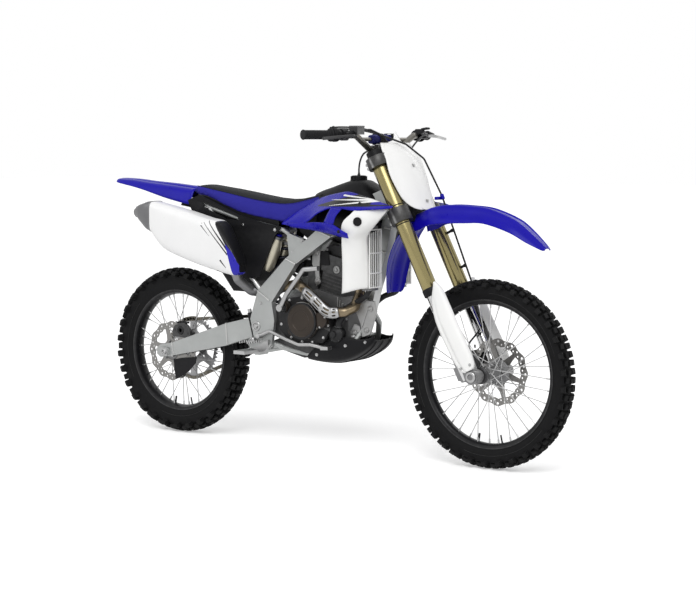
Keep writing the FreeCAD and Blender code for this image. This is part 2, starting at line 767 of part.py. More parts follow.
def radiators():
    skin = dim["skin"]
    core = prism(((0.6744, 0.6719), (0.6969, 0.6667), (0.7012, 0.8958),
        (0.6785, 0.901)), -body_half * 1.12, -body_half * 0.56)
    reach = dim["down_tube_width"] / 2 + dim["running_gap"]
    low_stay = at(*(0.6798, -0.5636, 0.7188))
    high_stay = at(*(0.6894, -0.5636, 0.8333))
    stays = []
    for stay in (low_stay, high_stay):
        inner = FreeCAD.Vector(stay.x, -reach, stay.z)
        stays.append(rod(stay, inner, skin * 1.5))
    return pair(core.multiFuse(stays))


keep("radiators", radiators())


def thin_loft(sections, inward, smooth=True):
    # shell through open curves, thickened by the inward shift of each
    wires = []
    for section in sections:
        outer = [at(*share) for share in section]
        inner = [point + inward for point in outer]
        if smooth:
            wires.append(shell_section(outer, inner))
        else:
            loop = outer + list(reversed(inner))
            wires.append(Part.makePolygon(loop + loop[:1]))
    return Part.makeLoft(wires, True, not smooth)


panel_sections = (((0.7003, -0.5636, 0.651), (0.6996, -1.1818, 0.651), (0.6778, -1.4182, 0.651),
    (0.6417, -1.7273, 0.651)), ((0.703, -0.5636, 0.7708), (0.7023, -1.1818, 0.7708),
    (0.6853, -1.4727, 0.7708), (0.6505, -1.8455, 0.7708)), ((0.7044, -0.5636, 0.8542),
    (0.7044, -1.1818, 0.8542), (0.6955, -1.5182, 0.8542), (0.6533, -1.9182, 0.8542)),
    ((0.7044, -0.5636, 0.8979), (0.7044, -1.1818, 0.8979), (0.6989, -1.5455, 0.8979),
    (0.654, -1.9455, 0.8979)))


# bottom and top of the openings between the cross bars
louvre_shares = ((0.6894, 0.6667), (0.6894, 0.725), (0.6894, 0.7323), (0.6894, 0.8021),
    (0.6894, 0.8094), (0.6894, 0.8812))


louvre_side_shares = (-0.708, -0.813, -0.918, -1.023, -1.128)
louvre_width_share = 0.072


def louvre_openings():
    openings = []
    depth = dim["skin"] * 8
    width = body_half * louvre_width_share
    for side in louvre_side_shares:
        for (x, low), (_, high) in zip(louvre_shares[::2], louvre_shares[1::2]):
            height = seat_height * (high - low)
            openings.append(Part.makeBox(depth, width, height, at(x, side, low)))
    return openings


def radiator_panels():
    skin = dim["skin"]
    shell = thin_loft(panel_sections, FreeCAD.Vector(-skin, skin, 0), smooth=False)
    tip = prism(((0.6553, 0.8948), (0.6975, 0.8948), (0.7323, 0.9104), (0.7752, 0.974), (0.7193, 0.975),
        (0.6839, 0.9677)), -body_half * 1.62, -body_half * 1.57)
    return pair(shell.fuse(tip).cut(louvre_openings()))


# bodywork

shroud_sections = (((0.4087, -0.8818, 0.9135), (0.4087, -0.9818, 0.9104), (0.4087, -1.0909, 0.9062),
    (0.4087, -1.1636, 0.901)), ((0.4768, -0.8182, 0.9812), (0.4768, -1.0909, 0.9531),
    (0.4768, -1.2545, 0.9219), (0.4768, -1.2818, 0.8917)), ((0.545, -0.8182, 1.0156),
    (0.545, -1.2, 0.9812), (0.545, -1.4, 0.9271), (0.545, -1.4182, 0.8833)), ((0.6247, -0.9818, 1.0406),
    (0.6247, -1.5, 0.9969), (0.6247, -1.8, 0.9323), (0.6247, -1.8273, 0.8729)), ((0.6839, -1.2, 1.0302),
    (0.6839, -1.6636, 0.9896), (0.6839, -1.9909, 0.9271), (0.6839, -2.1455, 0.8615)),
    ((0.7425, -1.3909, 1.0115), (0.7425, -1.6909, 0.9948), (0.7425, -1.8727, 0.9583),
    (0.7425, -1.9636, 0.9167)), ((0.797, -1.6, 0.9938), (0.797, -1.7091, 0.9906),
    (0.797, -1.7636, 0.9854), (0.797, -1.7909, 0.9771)))
shroud_outline = ((0.4108, 0.9135), (0.4768, 0.9802), (0.5095, 1.0063), (0.5463, 1.0146),
    (0.6247, 1.0396), (0.718, 1.0167), (0.7956, 0.9917), (0.7936, 0.9833), (0.6887, 0.9729),
    (0.6287, 0.9177), (0.6839, 0.8823), (0.6839, 0.8635), (0.6213, 0.876), (0.545, 0.8854),
    (0.4285, 0.9021))


def shrouds():
    skin = dim["skin"]
    shell = thin_loft(shroud_sections, FreeCAD.Vector(0, skin, -skin * 0.5))
    outline = prism(shroud_outline, -body_half * 2.4, -body_half * 0.6)
    stud_foot = at(*(0.6131, -0.7755, 1.0167))
    stud = Part.makeCylinder(skin * 2, body_half * 0.45, stud_foot, across * -1)
    whole = shell.common(outline)
    outside = thin_loft(shroud_sections, FreeCAD.Vector(0, -body_half, 0))
    return pair(whole.fuse(stud.cut(outside)))


def fuel_tank():
    upper = prism(((0.4802, 0.9531), (0.5048, 0.976), (0.5985, 1.0508), (0.6101, 1.08),
        (0.6301, 1.0854), (0.6301, 1.0146), (0.6165, 0.999), (0.5177, 0.8896),
        (0.4802, 0.8896)), -body_half * 0.77, body_half * 0.77)
    nose = prism(((0.6301, 1.0854), (0.654, 1.0875), (0.6757, 1.0792), (0.6846, 1.051),
        (0.6243, 1.0008), (0.6131, 1.0208)), -body_half * 0.39, body_half * 0.39)
    lower = prism(((0.4768, 0.8333), (0.5995, 0.8979), (0.5995, 0.9844), (0.5177, 0.8917),
        (0.4768, 0.8917)), -body_half * 0.41, body_half * 0.41)
    cap = Part.makeCylinder(dim["cap_radius"], dim["cap_height"], at(*(0.6301, 0.0, 1.0813)))
    return upper.multiFuse([nose, lower, cap])


# each row: place along X, top, bottom, half width, place across Y
seat_shares = ((0.0858, 1.0542, 1.0292, 0.6182, 0.0), (0.1362, 1.0458, 1.0031, 0.7273, 0.0),
    (0.2452, 1.025, 0.9417, 0.8, 0.0), (0.3406, 1.0042, 0.9177, 0.8273, 0.0),
    (0.4019, 1.0, 0.9062, 0.8364, 0.0), (0.4496, 1.0063, 0.9437, 0.7818, 0.0),
    (0.5048, 1.024, 0.9865, 0.6545, 0.0), (0.5586, 1.0521, 1.0271, 0.5455, 0.0),
    (0.6008, 1.075, 1.0573, 0.4182, 0.0))


def seat():
    wires = []
    for x, top, low, half, side in seat_shares:
        centre = at(x, side, (top + low) / 2)
        wires.append(oval_wire(centre, body_half * half, seat_height * (top - low) / 2, 0.6))
    return Part.makeLoft(wires, True, True)


side_panel_outline = ((0.079, 0.9917), (0.1213, 1.0146), (0.2595, 0.9365), (0.3992, 0.8927),
    (0.3801, 0.8573), (0.3297, 0.6917), (0.2752, 0.6833), (0.2044, 0.7917), (0.1022, 0.9271))


def side_panels():
    return pair(prism(side_panel_outline, -body_half * 0.946, -body_half * 0.883))


# one side of an arch: share of the half width, share of the height
arch_shares = ((1, 0), (0.97, 0.45), (0.8, 0.8), (0.45, 0.96), (0, 1))


def arch_section(put, x, ridge, edge, half, skin):
    left = [put(x, half * y, edge + (ridge - edge) * z) for y, z in arch_shares]
    right = [FreeCAD.Vector(point.x, -point.y, point.z) for point in left[:-1]]
    outer = right + list(reversed(left))
    inner = []
    for point in outer:
        lean = point.y / (body_half * half)
        inner.append(point - FreeCAD.Vector(0, skin * lean, skin * (1 - abs(lean) * 0.9)))
    return shell_section(outer, inner)


# each row: place along X, ridge, edge, half width
rear_fender_shares = ((-0.2241, 1.075, 1.0688, 0.3091), (-0.2044, 1.0771, 1.0625, 0.4727),
    (-0.0995, 1.0667, 1.0396, 0.6364), (-0.0204, 1.0583, 1.0208, 0.7091),
    (0.0409, 1.05, 0.9917, 0.7545), (0.0811, 1.0448, 0.9792, 0.7636))
inner_fender_shares = ((0.0811, 0.9896, 0.9563, 0.5636), (0.1226, 0.9625, 0.9219, 0.5636),
    (0.1703, 0.9375, 0.8979, 0.5636), (0.2248, 0.9042, 0.8771, 0.5273))


def rear_fender():
    skin = dim["skin"] * 0.75
    tail = Part.makeLoft([arch_section(at, *row, skin) for row in rear_fender_shares], True, False)
    inner = Part.makeLoft([arch_section(at, *row, skin) for row in inner_fender_shares], True, False)
    step = prism(((0.0787, 0.9604), (0.0814, 0.9604), (0.0814, 1.0427),
        (0.0787, 1.0427)), -body_half * 0.6, body_half * 0.6)
    return tail.multiFuse([inner, step])


def airbox():
    box = prism(((0.1533, 0.8812), (0.2248, 0.8688), (0.3406, 0.8812), (0.3202, 0.7917),
        (0.2997, 0.7188), (0.2895, 0.6667), (0.2657, 0.625), (0.2282, 0.625), (0.1771, 0.7188),
        (0.1533, 0.7917)), -body_half * 0.715, body_half * 0.715)
    return box.cut(subframe_shape)


keep("radiator_panels", radiator_panels())
keep("shrouds", shrouds())
tank_shape = fuel_tank()
keep("fuel_tank", tank_shape)
keep("seat", seat())
keep("side_panels", side_panels())
keep("rear_fender", rear_fender())
keep("airbox", airbox())


# below the engine

# each row: place along X, bottom, top of the sides
skid_shares = ((0.4918, 0.3688, 0.3812), (0.545, 0.3615, 0.4292), (0.5756, 0.3615, 0.4635),
    (0.6335, 0.3615, 0.4813), (0.6662, 0.4104, 0.4833))


def u_section(x, low, high, skin):
    rows = [(-1.02, high), (-0.94, low + (high - low) * 0.312), (-0.56, low), (0.56, low),
            (0.94, low + (high - low) * 0.312), (1.02, high)]
    outer = [at(x, y, z) for y, z in rows]
    inner = [FreeCAD.Vector(p.x, p.y * 0.965, p.z + skin) for p in outer]
    points = outer + list(reversed(inner))
    return Part.makePolygon(points + points[:1])


def skid_plate():
    skin = dim["skin"] * 0.75
    return Part.makeLoft([u_section(x, low, high, skin) for x, low, high in skid_shares], True, True)


keep("skid_plate", skid_plate())


def foot_pegs():
    plate_face = body_half * 1.07 + dim["running_gap"]
    bracket = prism(((0.3202, 0.4), (0.3733, 0.4417), (0.376, 0.4146), (0.361, 0.3885),
        (0.3168, 0.3885)), -body_half * 1.2, -plate_face)
    peg = prism(((0.3147, 0.3885), (0.3515, 0.3885), (0.3515, 0.4021),
        (0.3147, 0.4021)), -body_half * 2.13, -body_half * 1.2)
    return pair(bracket.fuse(peg))


keep("foot_pegs", foot_pegs())


def brake_pedal():
    radius = dim["lever_radius"]
    route = ((0.344, -1.2091, 0.4542), (0.3815, -1.2091, 0.4771), (0.436, -1.2091, 0.45),
        (0.4768, -1.2091, 0.4333), (0.5177, -1.2455, 0.4375), (0.5599, -1.2727, 0.4292))
    arm = bent_tube([at(*share) for share in route], radius, radius * 2)
    pivot = rod(at(*(0.344, -1.0755, 0.4542)), at(*(0.344, -1.2818, 0.4542)), radius * 1.4)
    pad = prism(((0.5572, 0.4208), (0.5804, 0.4229), (0.5804, 0.4354),
        (0.5572, 0.4354)), -body_half * 1.4, -body_half * 1.15)
    return arm.multiFuse([pivot, pad]).cut(frame_shape)


keep("brake_pedal", brake_pedal())


def shift_lever():
    radius = dim["lever_radius"]
    seat_face = dim["case_half"] + dim["cover_depth"] * 0.7 + dim["running_gap"]
    hub = at(*(0.4394, 0.0, 0.4583)) + across * seat_face
    route = [point + across * (seat_face + radius * out)
             for point, out in zip(flat_points(((0.4394, 0.4583), (0.4768, 0.4417), (0.5177, 0.4479))),
                 (1.8, 1.8, 2.4))]
    arm = bent_tube(route, radius, radius * 2)
    shaft = Part.makeCylinder(radius * 1.2, radius * 3, hub, across)
    toe = rod(route[-1] - across * radius, route[-1] + across * (radius * 5.1), radius * 1.1)
    return arm.multiFuse([shaft, toe])


keep("shift_lever", shift_lever())


def kick_lever():
    radius = dim["lever_radius"] * 1.3
    boss_face = dim["case_half"] + dim["cover_depth"] + dim["clutch_depth"] * 1.25 + dim["running_gap"]
    route = [point - across * (boss_face + radius * out)
             for point, out in zip(flat_points(((0.4298, 0.5771), (0.4503, 0.6323), (0.5123, 0.7354),
                 (0.5613, 0.7438))), (1.1, 1.1, 2.4, 2.8))]
    arm = bent_tube(route, radius, radius * 2)
    boss = Part.makeCylinder(radius * 1.5, radius * 2, at(*kick_share) - across * boss_face, across * -1)
    return arm.fuse(boss)


keep("kick_lever", kick_lever())


def rear_caliper():
    shares = ((0.1803, 0.4754), (0.9672, 0.4918), (0.9672, 0.9016), (0.7377, 1.082), (0.2459, 1.082))
    reach = dim["rear_disc_radius"]
    outline = [rear_axle + FreeCAD.Vector(x * reach, 0, z * reach) for x, z in shares]
    block = slab(outline, -body_half * 0.83, -body_half * 0.42)
    disc_middle = -(dim["rear_hub_half"] + dim["disc_thickness"] / 2)
    half = dim["disc_thickness"] / 2 + dim["pad_gap"]
    slot = Part.makeCylinder(dim["rear_disc_radius"] + dim["pad_gap"], half * 2,
                             rear_axle + across * (disc_middle - half), across)
    return block.cut(slot).cut(swingarm_shape)


keep("rear_caliper", rear_caliper())


# steering, drawn along the steering axis

fork_half = dim["fork_half"]
leg_offset = dim["leg_offset"]
gap = dim["running_gap"]


def spot(forward, left, up):
    return FreeCAD.Vector(forward, left, up)


def upright(radius, low, high, forward=0, left=0):
    return Part.makeCylinder(radius, high - low, spot(forward, left, low))


def clamp(low, height):
    grip = dim["outer_tube_radius"] + dim["clamp_wall"]
    ring = upright(grip, low, low + height, leg_offset, -fork_half)
    hub_radius = dim["head_pipe_radius"]
    hub = upright(hub_radius, low, low + height)
    wall = dim["clamp_wall"]
    ahead = leg_offset + wall
    bridge_points = [spot(-hub_radius, 0, low), spot(-wall, -fork_half, low), spot(ahead, -fork_half, low),
                     spot(ahead, fork_half, low), spot(-wall, fork_half, low)]
    bridge = Part.Face(Part.makePolygon(bridge_points + bridge_points[:1])).extrude(spot(0, 0, height))
    return hub.multiFuse([ring, mirrored(ring), bridge])


def triple_clamps():
    low = clamp(dim["clamp_low"], dim["clamp_low_height"])
    high = clamp(dim["clamp_high"], dim["clamp_high_height"])
    top = dim["clamp_high"] + dim["clamp_high_height"]
    stem = upright(dim["stem_radius"], dim["clamp_low"], top + dim["clamp_wall"])
    whole = low.multiFuse([high, stem])
    bore = dim["outer_tube_radius"] + gap
    for side in (-1, 1):
        whole = whole.cut(upright(bore, 0, dim["fork_top"] * 2, leg_offset, side * fork_half))
    bar_up = top + dim["clamp_wall"] * 3.2
    half = dim["clamp_wall"] * 1.8
    for side in (-1, 1):
        start = side * fork_half * 0.5 - dim["clamp_wall"]
        corner = spot(-half + bar_forward, start, top)
        block = Part.makeBox(half * 2, dim["clamp_wall"] * 2, dim["clamp_wall"] * 4.6, corner)
        whole = whole.fuse(block)
    hole_start = spot(bar_forward, -fork_half, bar_up)
    hole = Part.makeCylinder(dim["bar_radius"] + gap, fork_half * 2, hole_start, across)
    return whole.cut(hole)


bar_forward = -dim["clamp_wall"] * 0.3
bar_height = dim["clamp_high"] + dim["clamp_high_height"] + dim["clamp_wall"] * 3.2


def fork_tubes():
    radius = dim["outer_tube_radius"]
    return pair(upright(radius, dim["outer_tube_start"], dim["fork_top"], leg_offset, -fork_half))


def fork_lowers():
    leg = upright(dim["inner_tube_radius"], 0, dim["outer_tube_start"], leg_offset, -fork_half)
    lug_half = dim["axle_lug_width"] / 2
    radius = dim["axle_lug_radius"]
    lug_centre = spot(lead, -fork_half - lug_half, 0)
    lug = Part.makeCylinder(radius, lug_half * 2, lug_centre, across)
    inner = dim["inner_tube_radius"]
    rear = leg_offset - inner
    web_points = [spot(rear, 0, inner * 2.4), spot(leg_offset + inner, 0, inner * 2.4),
                  spot(lead + radius * 0.9, 0, 0), spot(lead, 0, -radius * 0.9), spot(rear, 0, inner * 0.4)]
    web = Part.Face(Part.makePolygon(web_points + web_points[:1])).extrude(across * lug_half * 2)
    web.translate(across * (-fork_half - lug_half))
    side = leg.multiFuse([lug, web])
    axle_half = fork_half + lug_half + dim["clamp_wall"] * 0.5
    axle = Part.makeCylinder(dim["axle_radius"], axle_half * 2, spot(lead, -axle_half, 0), across)
    return side.multiFuse([mirrored(side), axle])


guard_shares = ((-0.05, -1.285), (0.30, -1.295), (0.72, -1.275), (1.0, -1.08), (1.02, -0.82))


def fork_guards():
    wires = []
    skin = dim["skin"] * 0.75
    for up, spread in ((0, 0.86), (0.2, 1), (0.85, 1), (1, 0.9)):
        height = dim["guard_start"] + dim["guard_length"] * up
        outer = [spot(dim["guard_width"] * x * spread, fork_half * y, height) for x, y in guard_shares]
        inner = [point + spot(-skin * turn, skin, 0) for point, turn in zip(outer, (0, 0.2, 0.4, 1, 1.4))]
        wires.append(shell_section(outer, inner))
    return pair(Part.makeLoft(wires, True, True))


keep_steered("triple_clamps", triple_clamps())
keep_steered("fork_tubes", fork_tubes())
keep_steered("fork_lowers", fork_lowers())
keep_steered("fork_guards", fork_guards())


# bar and controls

bar_centre = steer_foot + axis_out * bar_forward + axis_up * bar_height
bar_rise = dim["bar_rise"]
bar_sweep = dim["bar_sweep"]
bend_half = dim["bar_half"] * 0.47
bar_end = bar_centre + spot(-bar_sweep, -dim["bar_half"], bar_rise)
bar_bend = bar_centre + spot(dim["skin"] * 2, -bend_half, bar_rise)
bar_line = (bar_end - bar_bend).normalize()


def flip(point):
    return FreeCAD.Vector(point.x, -point.y, point.z)


def handlebar():
    knee = bar_centre - across * fork_half * 0.75
    bar = bent_tube([bar_end, bar_bend, knee, flip(knee), flip(bar_bend), flip(bar_end)],
                    dim["bar_radius"], dim["bar_radius"] * 2.5)
    brace_up = bar_centre + spot(0, 0, bar_rise * 0.75)
    brace_half = across * (bend_half - dim["bar_radius"] * 2)
    brace = rod(brace_up - brace_half, brace_up + brace_half, dim["bar_radius"] * 0.6)
    bore_depth = dim["grip_length"] * 0.5
    bar = bar.fuse(brace)
    for end, line in ((bar_end, bar_line), (flip(bar_end), flip(bar_line))):
        bar = bar.cut(Part.makeCylinder(dim["bar_bore"], bore_depth, end - line * bore_depth, line))
    return bar


bar_shape = handlebar()
keep("handlebar", bar_shape)


def bar_pad():
    middle = bar_centre + spot(0, 0, bar_rise * 0.75)
    half = across * (bend_half * 0.45)
    pad = rod(middle - half, middle + half, dim["bar_radius"] * 1.5)
    return pad.cut(rod(middle - half, middle + half, dim["bar_radius"] * 0.6 + gap))


keep("bar_pad", bar_pad())


def grips():
    length = dim["grip_length"]
    hole = rod(bar_end + bar_line, bar_end - bar_line * length * 1.5, dim["bar_radius"] + gap)
    grip = rod(bar_end, bar_end - bar_line * length, dim["grip_radius"])
    housing = rod(bar_end - bar_line * length, bar_end - bar_line * length * 1.18, dim["grip_radius"] * 1.4)
    right = grip.fuse(housing).cut(hole)
    left = mirrored(grip.cut(hole))
    return Part.makeCompound([right, left])


keep("grips", grips())


perch_middle = bar_end - bar_line * (dim["grip_length"] * 1.46)
hinge = perch_middle + spot(dim["grip_length"] * 0.42, 0, 0)


def lever(side):
    length = dim["grip_length"]
    start = bar_end - bar_line * length * 1.36
    perch = rod(start, start - bar_line * length * 0.2, dim["grip_radius"] * 1.15)
    block = rod(perch_middle, hinge, dim["grip_radius"] * 0.6)
    elbow = hinge + spot(length * 0.12, -length * 0.3, -length * 0.02)
    tip = bar_end + spot(length * 0.72, length * 0.04, -length * 0.1)
    blade = bent_tube([hinge, elbow, tip], dim["lever_radius"] * 0.85, dim["lever_radius"] * 2)
    shape = perch.multiFuse([block, blade])
    if side == "brake":
        corner = hinge + spot(-length * 0.16, -length * 0.1, length * 0.02)
        tank = Part.makeBox(length * 0.3, length * 0.36, length * 0.26, corner)
        shape = shape.fuse(tank)
    hole = rod(bar_end, bar_end - bar_line * length * 2, dim["bar_radius"] + gap)
    shape = shape.cut(hole)
    return shape if side == "brake" else mirrored(shape)


brake_lever_shape = lever("brake")
keep("brake_lever", brake_lever_shape)
keep("clutch_lever", lever("clutch"))


def front_caliper():
    length = dim["axle_lug_width"]
    disc_middle = dim["front_hub_half"] + dim["disc_thickness"] / 2
    half = dim["disc_thickness"] / 2 + dim["pad_gap"]
    corner = spot(-length * 1.5, disc_middle - length * 0.36, length * 0.85)
    block = Part.makeBox(length * 1.4, length, length * 1.6, corner)
    stay_corner = spot(-length * 0.9, fork_half - length * 0.6, length * 1.3)
    stay = Part.makeBox(length, length * 0.8, length * 0.9, stay_corner)
    slot_start = spot(lead, disc_middle - half, 0)
    slot = Part.makeCylinder(dim["front_disc_radius"] + dim["pad_gap"], half * 2, slot_start, across)
    leg = upright(dim["inner_tube_radius"] + gap, 0, dim["outer_tube_start"], leg_offset, fork_half)
    return block.fuse(stay).cut(slot).cut(leg)


keep_steered("front_caliper", front_caliper())


def by_clamp(x_share, y_share, z_share):
    # from the middle of the lower clamp's underside, in heights of that clamp above the axle
    unit = dim["clamp_low"]
    return on_axis(unit) + FreeCAD.Vector(unit * x_share, body_half * y_share, unit * z_share)


def curved_sheet(rows, skin):
    # each row: height, place of the middle, place of the sides, half width
    wires = []
    for up, middle, side, half in rows:
        outer = [by_clamp(side, -half, up), by_clamp(middle, 0, up), by_clamp(side, half, up)]
        wires.append(shell_section(outer, [point - spot(skin, 0, 0) for point in outer]))
    return Part.makeLoft(wires, True, len(rows) > 5)


front_fender_shares = ((0.0389, 0.0652, 0.0428, 0.5091), (0.164, 0.1004, 0.0588, 0.5818),
    (0.2696, 0.1148, 0.0172, 0.6364), (0.4168, 0.1116, 0.0188, 0.6545),
    (0.5464, 0.0972, 0.0236, 0.6455), (0.708, 0.0396, -0.0244, 0.6), (0.8008, -0.0244, -0.074, 0.5091),
    (0.8808, -0.0948, -0.1204, 0.3455), (0.8968, -0.1108, -0.13, 0.2545))
bracket_shares = ((0.0389, 0.062), (0.0353, 0.0492), (0.0485, 0.0236), (0.0168, 0.0073),
    (0.0136, -0.018), (0.0888, -0.018), (0.1, 0.0716))
flap_shares = ((0.0044, 0.0296, 0.0392, 0.5091), (-0.0372, -0.0184, -0.0056, 0.6182),
    (-0.0884, -0.0664, -0.0472, 0.6909), (-0.1988, -0.124, -0.0984, 0.6909),
    (-0.29, -0.1496, -0.1208, 0.6364), (-0.362, -0.1592, -0.1304, 0.5636),
    (-0.4116, -0.164, -0.1384, 0.4727))


def front_fender():
    skin = dim["skin"] * 0.75
    arch = Part.makeLoft([arch_section(by_clamp, *row, skin) for row in front_fender_shares], True, False)
    half = body_half * 0.38
    bracket = slab([by_clamp(x, 0, z) for x, z in bracket_shares], -half, half)
    return arch.multiFuse([bracket, curved_sheet(flap_shares, skin)])


keep("front_fender", front_fender())


plate_rows = ((0.4812, -0.0952, -0.124, 0.8909), (0.39, -0.0408, -0.0792, 1.0545),
    (0.2988, 0.0104, -0.044, 1.1091), (0.142, 0.0824, 0.0333, 0.8909), (0.0908, 0.1048, 0.0849, 0.5455))
keep("number_plate", curved_sheet(plate_rows, dim["skin"] * 0.75))


# brake hose, from the tank on the bar over the plate and down the left leg

hose_shares = ((0.7117, -0.7429, 1.0405), (0.9568, -0.0381, 0.9918), (1.0391, 0.5905, 0.9207),
    (0.8752, 1.0286, 0.7619))
hose_end_shares = ((0.5905, 1.0857, 0.3618), (0.5714, 1.019, 0.2248), (0.419, 0.6667, 0.1886),
    (-0.2476, 0.6476, 0.1579), (-0.2476, 0.6476, 0.1236))


def brake_hose():
    length = dim["grip_length"]
    start = hinge + spot(-length * 0.01, length * 0.26, length * 0.15)
    points = [start, start + spot(length * 0.04, length * 0.46, length * 0.02)]
    for forward, left, up in hose_shares + hose_end_shares:
        side = axis_out * (fork_half * forward) + across * (fork_half * left)
        points.append(on_axis(dim["fork_top"] * up) + side)
    return bent_tube(points, dim["hose_radius"], dim["hose_bend"]).cut(brake_lever_shape)


keep("brake_hose", brake_hose())

doc.recompute()
for item in doc.Objects:
    if "Invalid" in item.State or "Error" in item.State:
        raise RuntimeError("failed: " + item.Name)
for name, item in nodes.items():
    if item.Shape.isNull() or not item.Shape.isValid():
        raise RuntimeError("bad shape: " + name)
for name, item in nodes.items():
    item.Shape.exportStep("parts/" + name + ".step")
    print(name, len(item.Shape.Solids), round(item.Shape.Volume / 1000), item.Shape.BoundBox)
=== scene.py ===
import json
import math
import bpy
import bmesh
from mathutils import Matrix, Vector


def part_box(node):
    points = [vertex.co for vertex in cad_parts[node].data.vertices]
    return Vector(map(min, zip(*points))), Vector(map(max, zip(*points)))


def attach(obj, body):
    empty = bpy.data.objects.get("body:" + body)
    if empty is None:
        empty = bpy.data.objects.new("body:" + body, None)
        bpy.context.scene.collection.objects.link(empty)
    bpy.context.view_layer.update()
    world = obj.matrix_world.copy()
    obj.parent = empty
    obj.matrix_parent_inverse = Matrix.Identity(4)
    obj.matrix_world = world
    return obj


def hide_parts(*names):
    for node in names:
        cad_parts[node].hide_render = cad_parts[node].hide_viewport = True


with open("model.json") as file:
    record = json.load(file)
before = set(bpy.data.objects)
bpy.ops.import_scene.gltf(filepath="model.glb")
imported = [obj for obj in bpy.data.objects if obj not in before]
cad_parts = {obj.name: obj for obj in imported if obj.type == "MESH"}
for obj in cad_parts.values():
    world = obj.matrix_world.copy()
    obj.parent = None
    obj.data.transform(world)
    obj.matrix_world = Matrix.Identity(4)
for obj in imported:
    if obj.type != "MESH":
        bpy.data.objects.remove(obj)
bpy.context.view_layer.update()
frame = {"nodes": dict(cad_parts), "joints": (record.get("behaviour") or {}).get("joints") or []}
print("frame loaded")

# the bike's own measures, in metres
mm = 0.001
joints = {joint["name"]: joint for joint in frame["joints"]}
rearAxle = Vector(joints["rear_wheel_spin"]["pos_m"])
frontAxle = Vector(joints["front_wheel_spin"]["pos_m"])
steerFoot = Vector(joints["steering"]["pos_m"])
steerUp = Vector(joints["steering"]["axis"])
steerOut = Vector((steerUp.z, 0, -steerUp.x))
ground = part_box("rear_tyre")[0].z
leftwards = Vector((0, 1, 0))
rightwards = Vector((0, -1, 0))
upwards = Vector((0, 0, 1))
forwards = Vector((1, 0, 0))


def at(x, y, z):  # millimetres ahead of the rear axle, to the left, above the ground
    return Vector((rearAxle.x + x * mm, y * mm, ground + z * mm))


def steered(u, v, s):  # millimetres ahead of the steering axis, to the left, up along it
    return steerFoot + steerOut * (u * mm) + leftwards * (v * mm) + steerUp * (s * mm)


def onCircle(middle, turn, radius, across=0):  # turn in radians in the bike's side view, the rest in mm
    return middle + Vector((math.cos(turn) * radius, across, math.sin(turn) * radius)) * mm


def turnsOf(count, start=0.0):  # equal steps round a circle, in radians
    return [start + 2 * math.pi * k / count for k in range(count)]


def polar(radius, turn, x=0, y=0):
    return x + radius * math.cos(turn), y + radius * math.sin(turn)


def circle(radius, count=24, x=0, y=0):
    return [polar(radius, turn, x, y) for turn in turnsOf(count)]


def squared(value, power):  # a cosine or sine pushed outward, so that a round turns squarish
    return math.copysign(abs(value) ** power, value)


def sideways(direction):  # two directions square to the given one
    ahead = direction.normalized()
    hint = upwards if abs(ahead.z) < 0.9 else forwards
    first = hint.cross(ahead).normalized()
    return first, ahead.cross(first)


def smoothLine(points, steps):  # a curve through every point
    if len(points) < 3 or steps < 2:
        return [Vector(p) for p in points]
    ends = [points[0] * 2 - points[1]] + list(points) + [points[-1] * 2 - points[-2]]
    line = []
    for a, b, c, d in zip(ends, ends[1:], ends[2:], ends[3:]):
        for t in (step / steps for step in range(steps)):
            line.append(0.5 * (b * 2 + (c - a) * t + (a * 2 - b * 5 + c * 4 - d) * t * t
                               + (b * 3 - a - c * 3 + d) * t ** 3))
    return line + [Vector(points[-1])]


def route(points, steps):  # a curve through points given in mm
    return smoothLine([at(*p) for p in points], steps)


def denseRows(rows, across, along):  # more points between the given ones, both ways
    fine = [smoothLine(row, across) for row in rows]
    columns = [smoothLine(list(column), along) for column in zip(*fine)]
    return [list(row) for row in zip(*columns)]


# shapes, gathered in a bmesh

def addFaces(bm, loops, count, closed, mat, smooth):
    for low, high in zip(loops, loops[1:]):
        for i in range(count if closed else count - 1):
            j = (i + 1) % count
            face = bm.faces.new((low[i], low[j], high[j], high[i]))
            face.material_index = mat
            face.smooth = smooth


def addRows(bm, rows, closed=False, caps=False, mat=0):
    loops = [[bm.verts.new(p) for p in row] for row in rows]
    addFaces(bm, loops, len(rows[0]), closed, mat, True)
    if caps:
        for loop in (list(reversed(loops[0])), loops[-1]):
            bm.faces.new(loop).material_index = mat


def addTube(bm, points, radius, sides=12, mat=0):  # radius is one or one a point
    radii = radius if isinstance(radius, (list, tuple)) else [radius] * len(points)
    first = sideways(points[1] - points[0])[0]
    last = len(points) - 1
    rings = []
    for i, point in enumerate(points):
        ahead = (points[min(i + 1, last)] - points[max(i - 1, 0)]).normalized()
        first = (first - ahead * first.dot(ahead)).normalized()
        second = ahead.cross(first)
        rings.append([point + (first * math.cos(a) + second * math.sin(a)) * (radii[i] * mm) for a in turnsOf(sides)])
    addRows(bm, rings, closed=True, caps=True, mat=mat)


def turnedRow(origin, direction, along, radius, sides):
    ahead = direction.normalized()
    first, second = sideways(ahead)
    middle = origin + ahead * (along * mm)
    return [middle + (first * math.cos(a) + second * math.sin(a)) * (radius * mm) for a in turnsOf(sides)]


def addTurned(bm, origin, direction, profile, sides=32, mat=0):  # profile: (along, radius)
    rows = [turnedRow(origin, direction, along, radius, sides) for along, radius in profile]
    addRows(bm, rows, closed=True, caps=True, mat=mat)


def addRing(bm, origin, direction, profile, sides=48):  # closed section turned about an axis
    rows = [turnedRow(origin, direction, along, radius, sides) for along, radius in profile]
    loops = [[bm.verts.new(p) for p in ring] for ring in zip(*rows)]
    addFaces(bm, loops + loops[:1], len(profile), True, 0, True)


def addPrism(bm, outline, depth, mat=0):  # flat outline pushed along a vector
    low = [bm.verts.new(p) for p in outline]
    high = [bm.verts.new(p + depth) for p in outline]
    addFaces(bm, [low, high], len(outline), True, mat, False)
    for face in (list(reversed(low)), high):
        bm.faces.new(face).material_index = mat


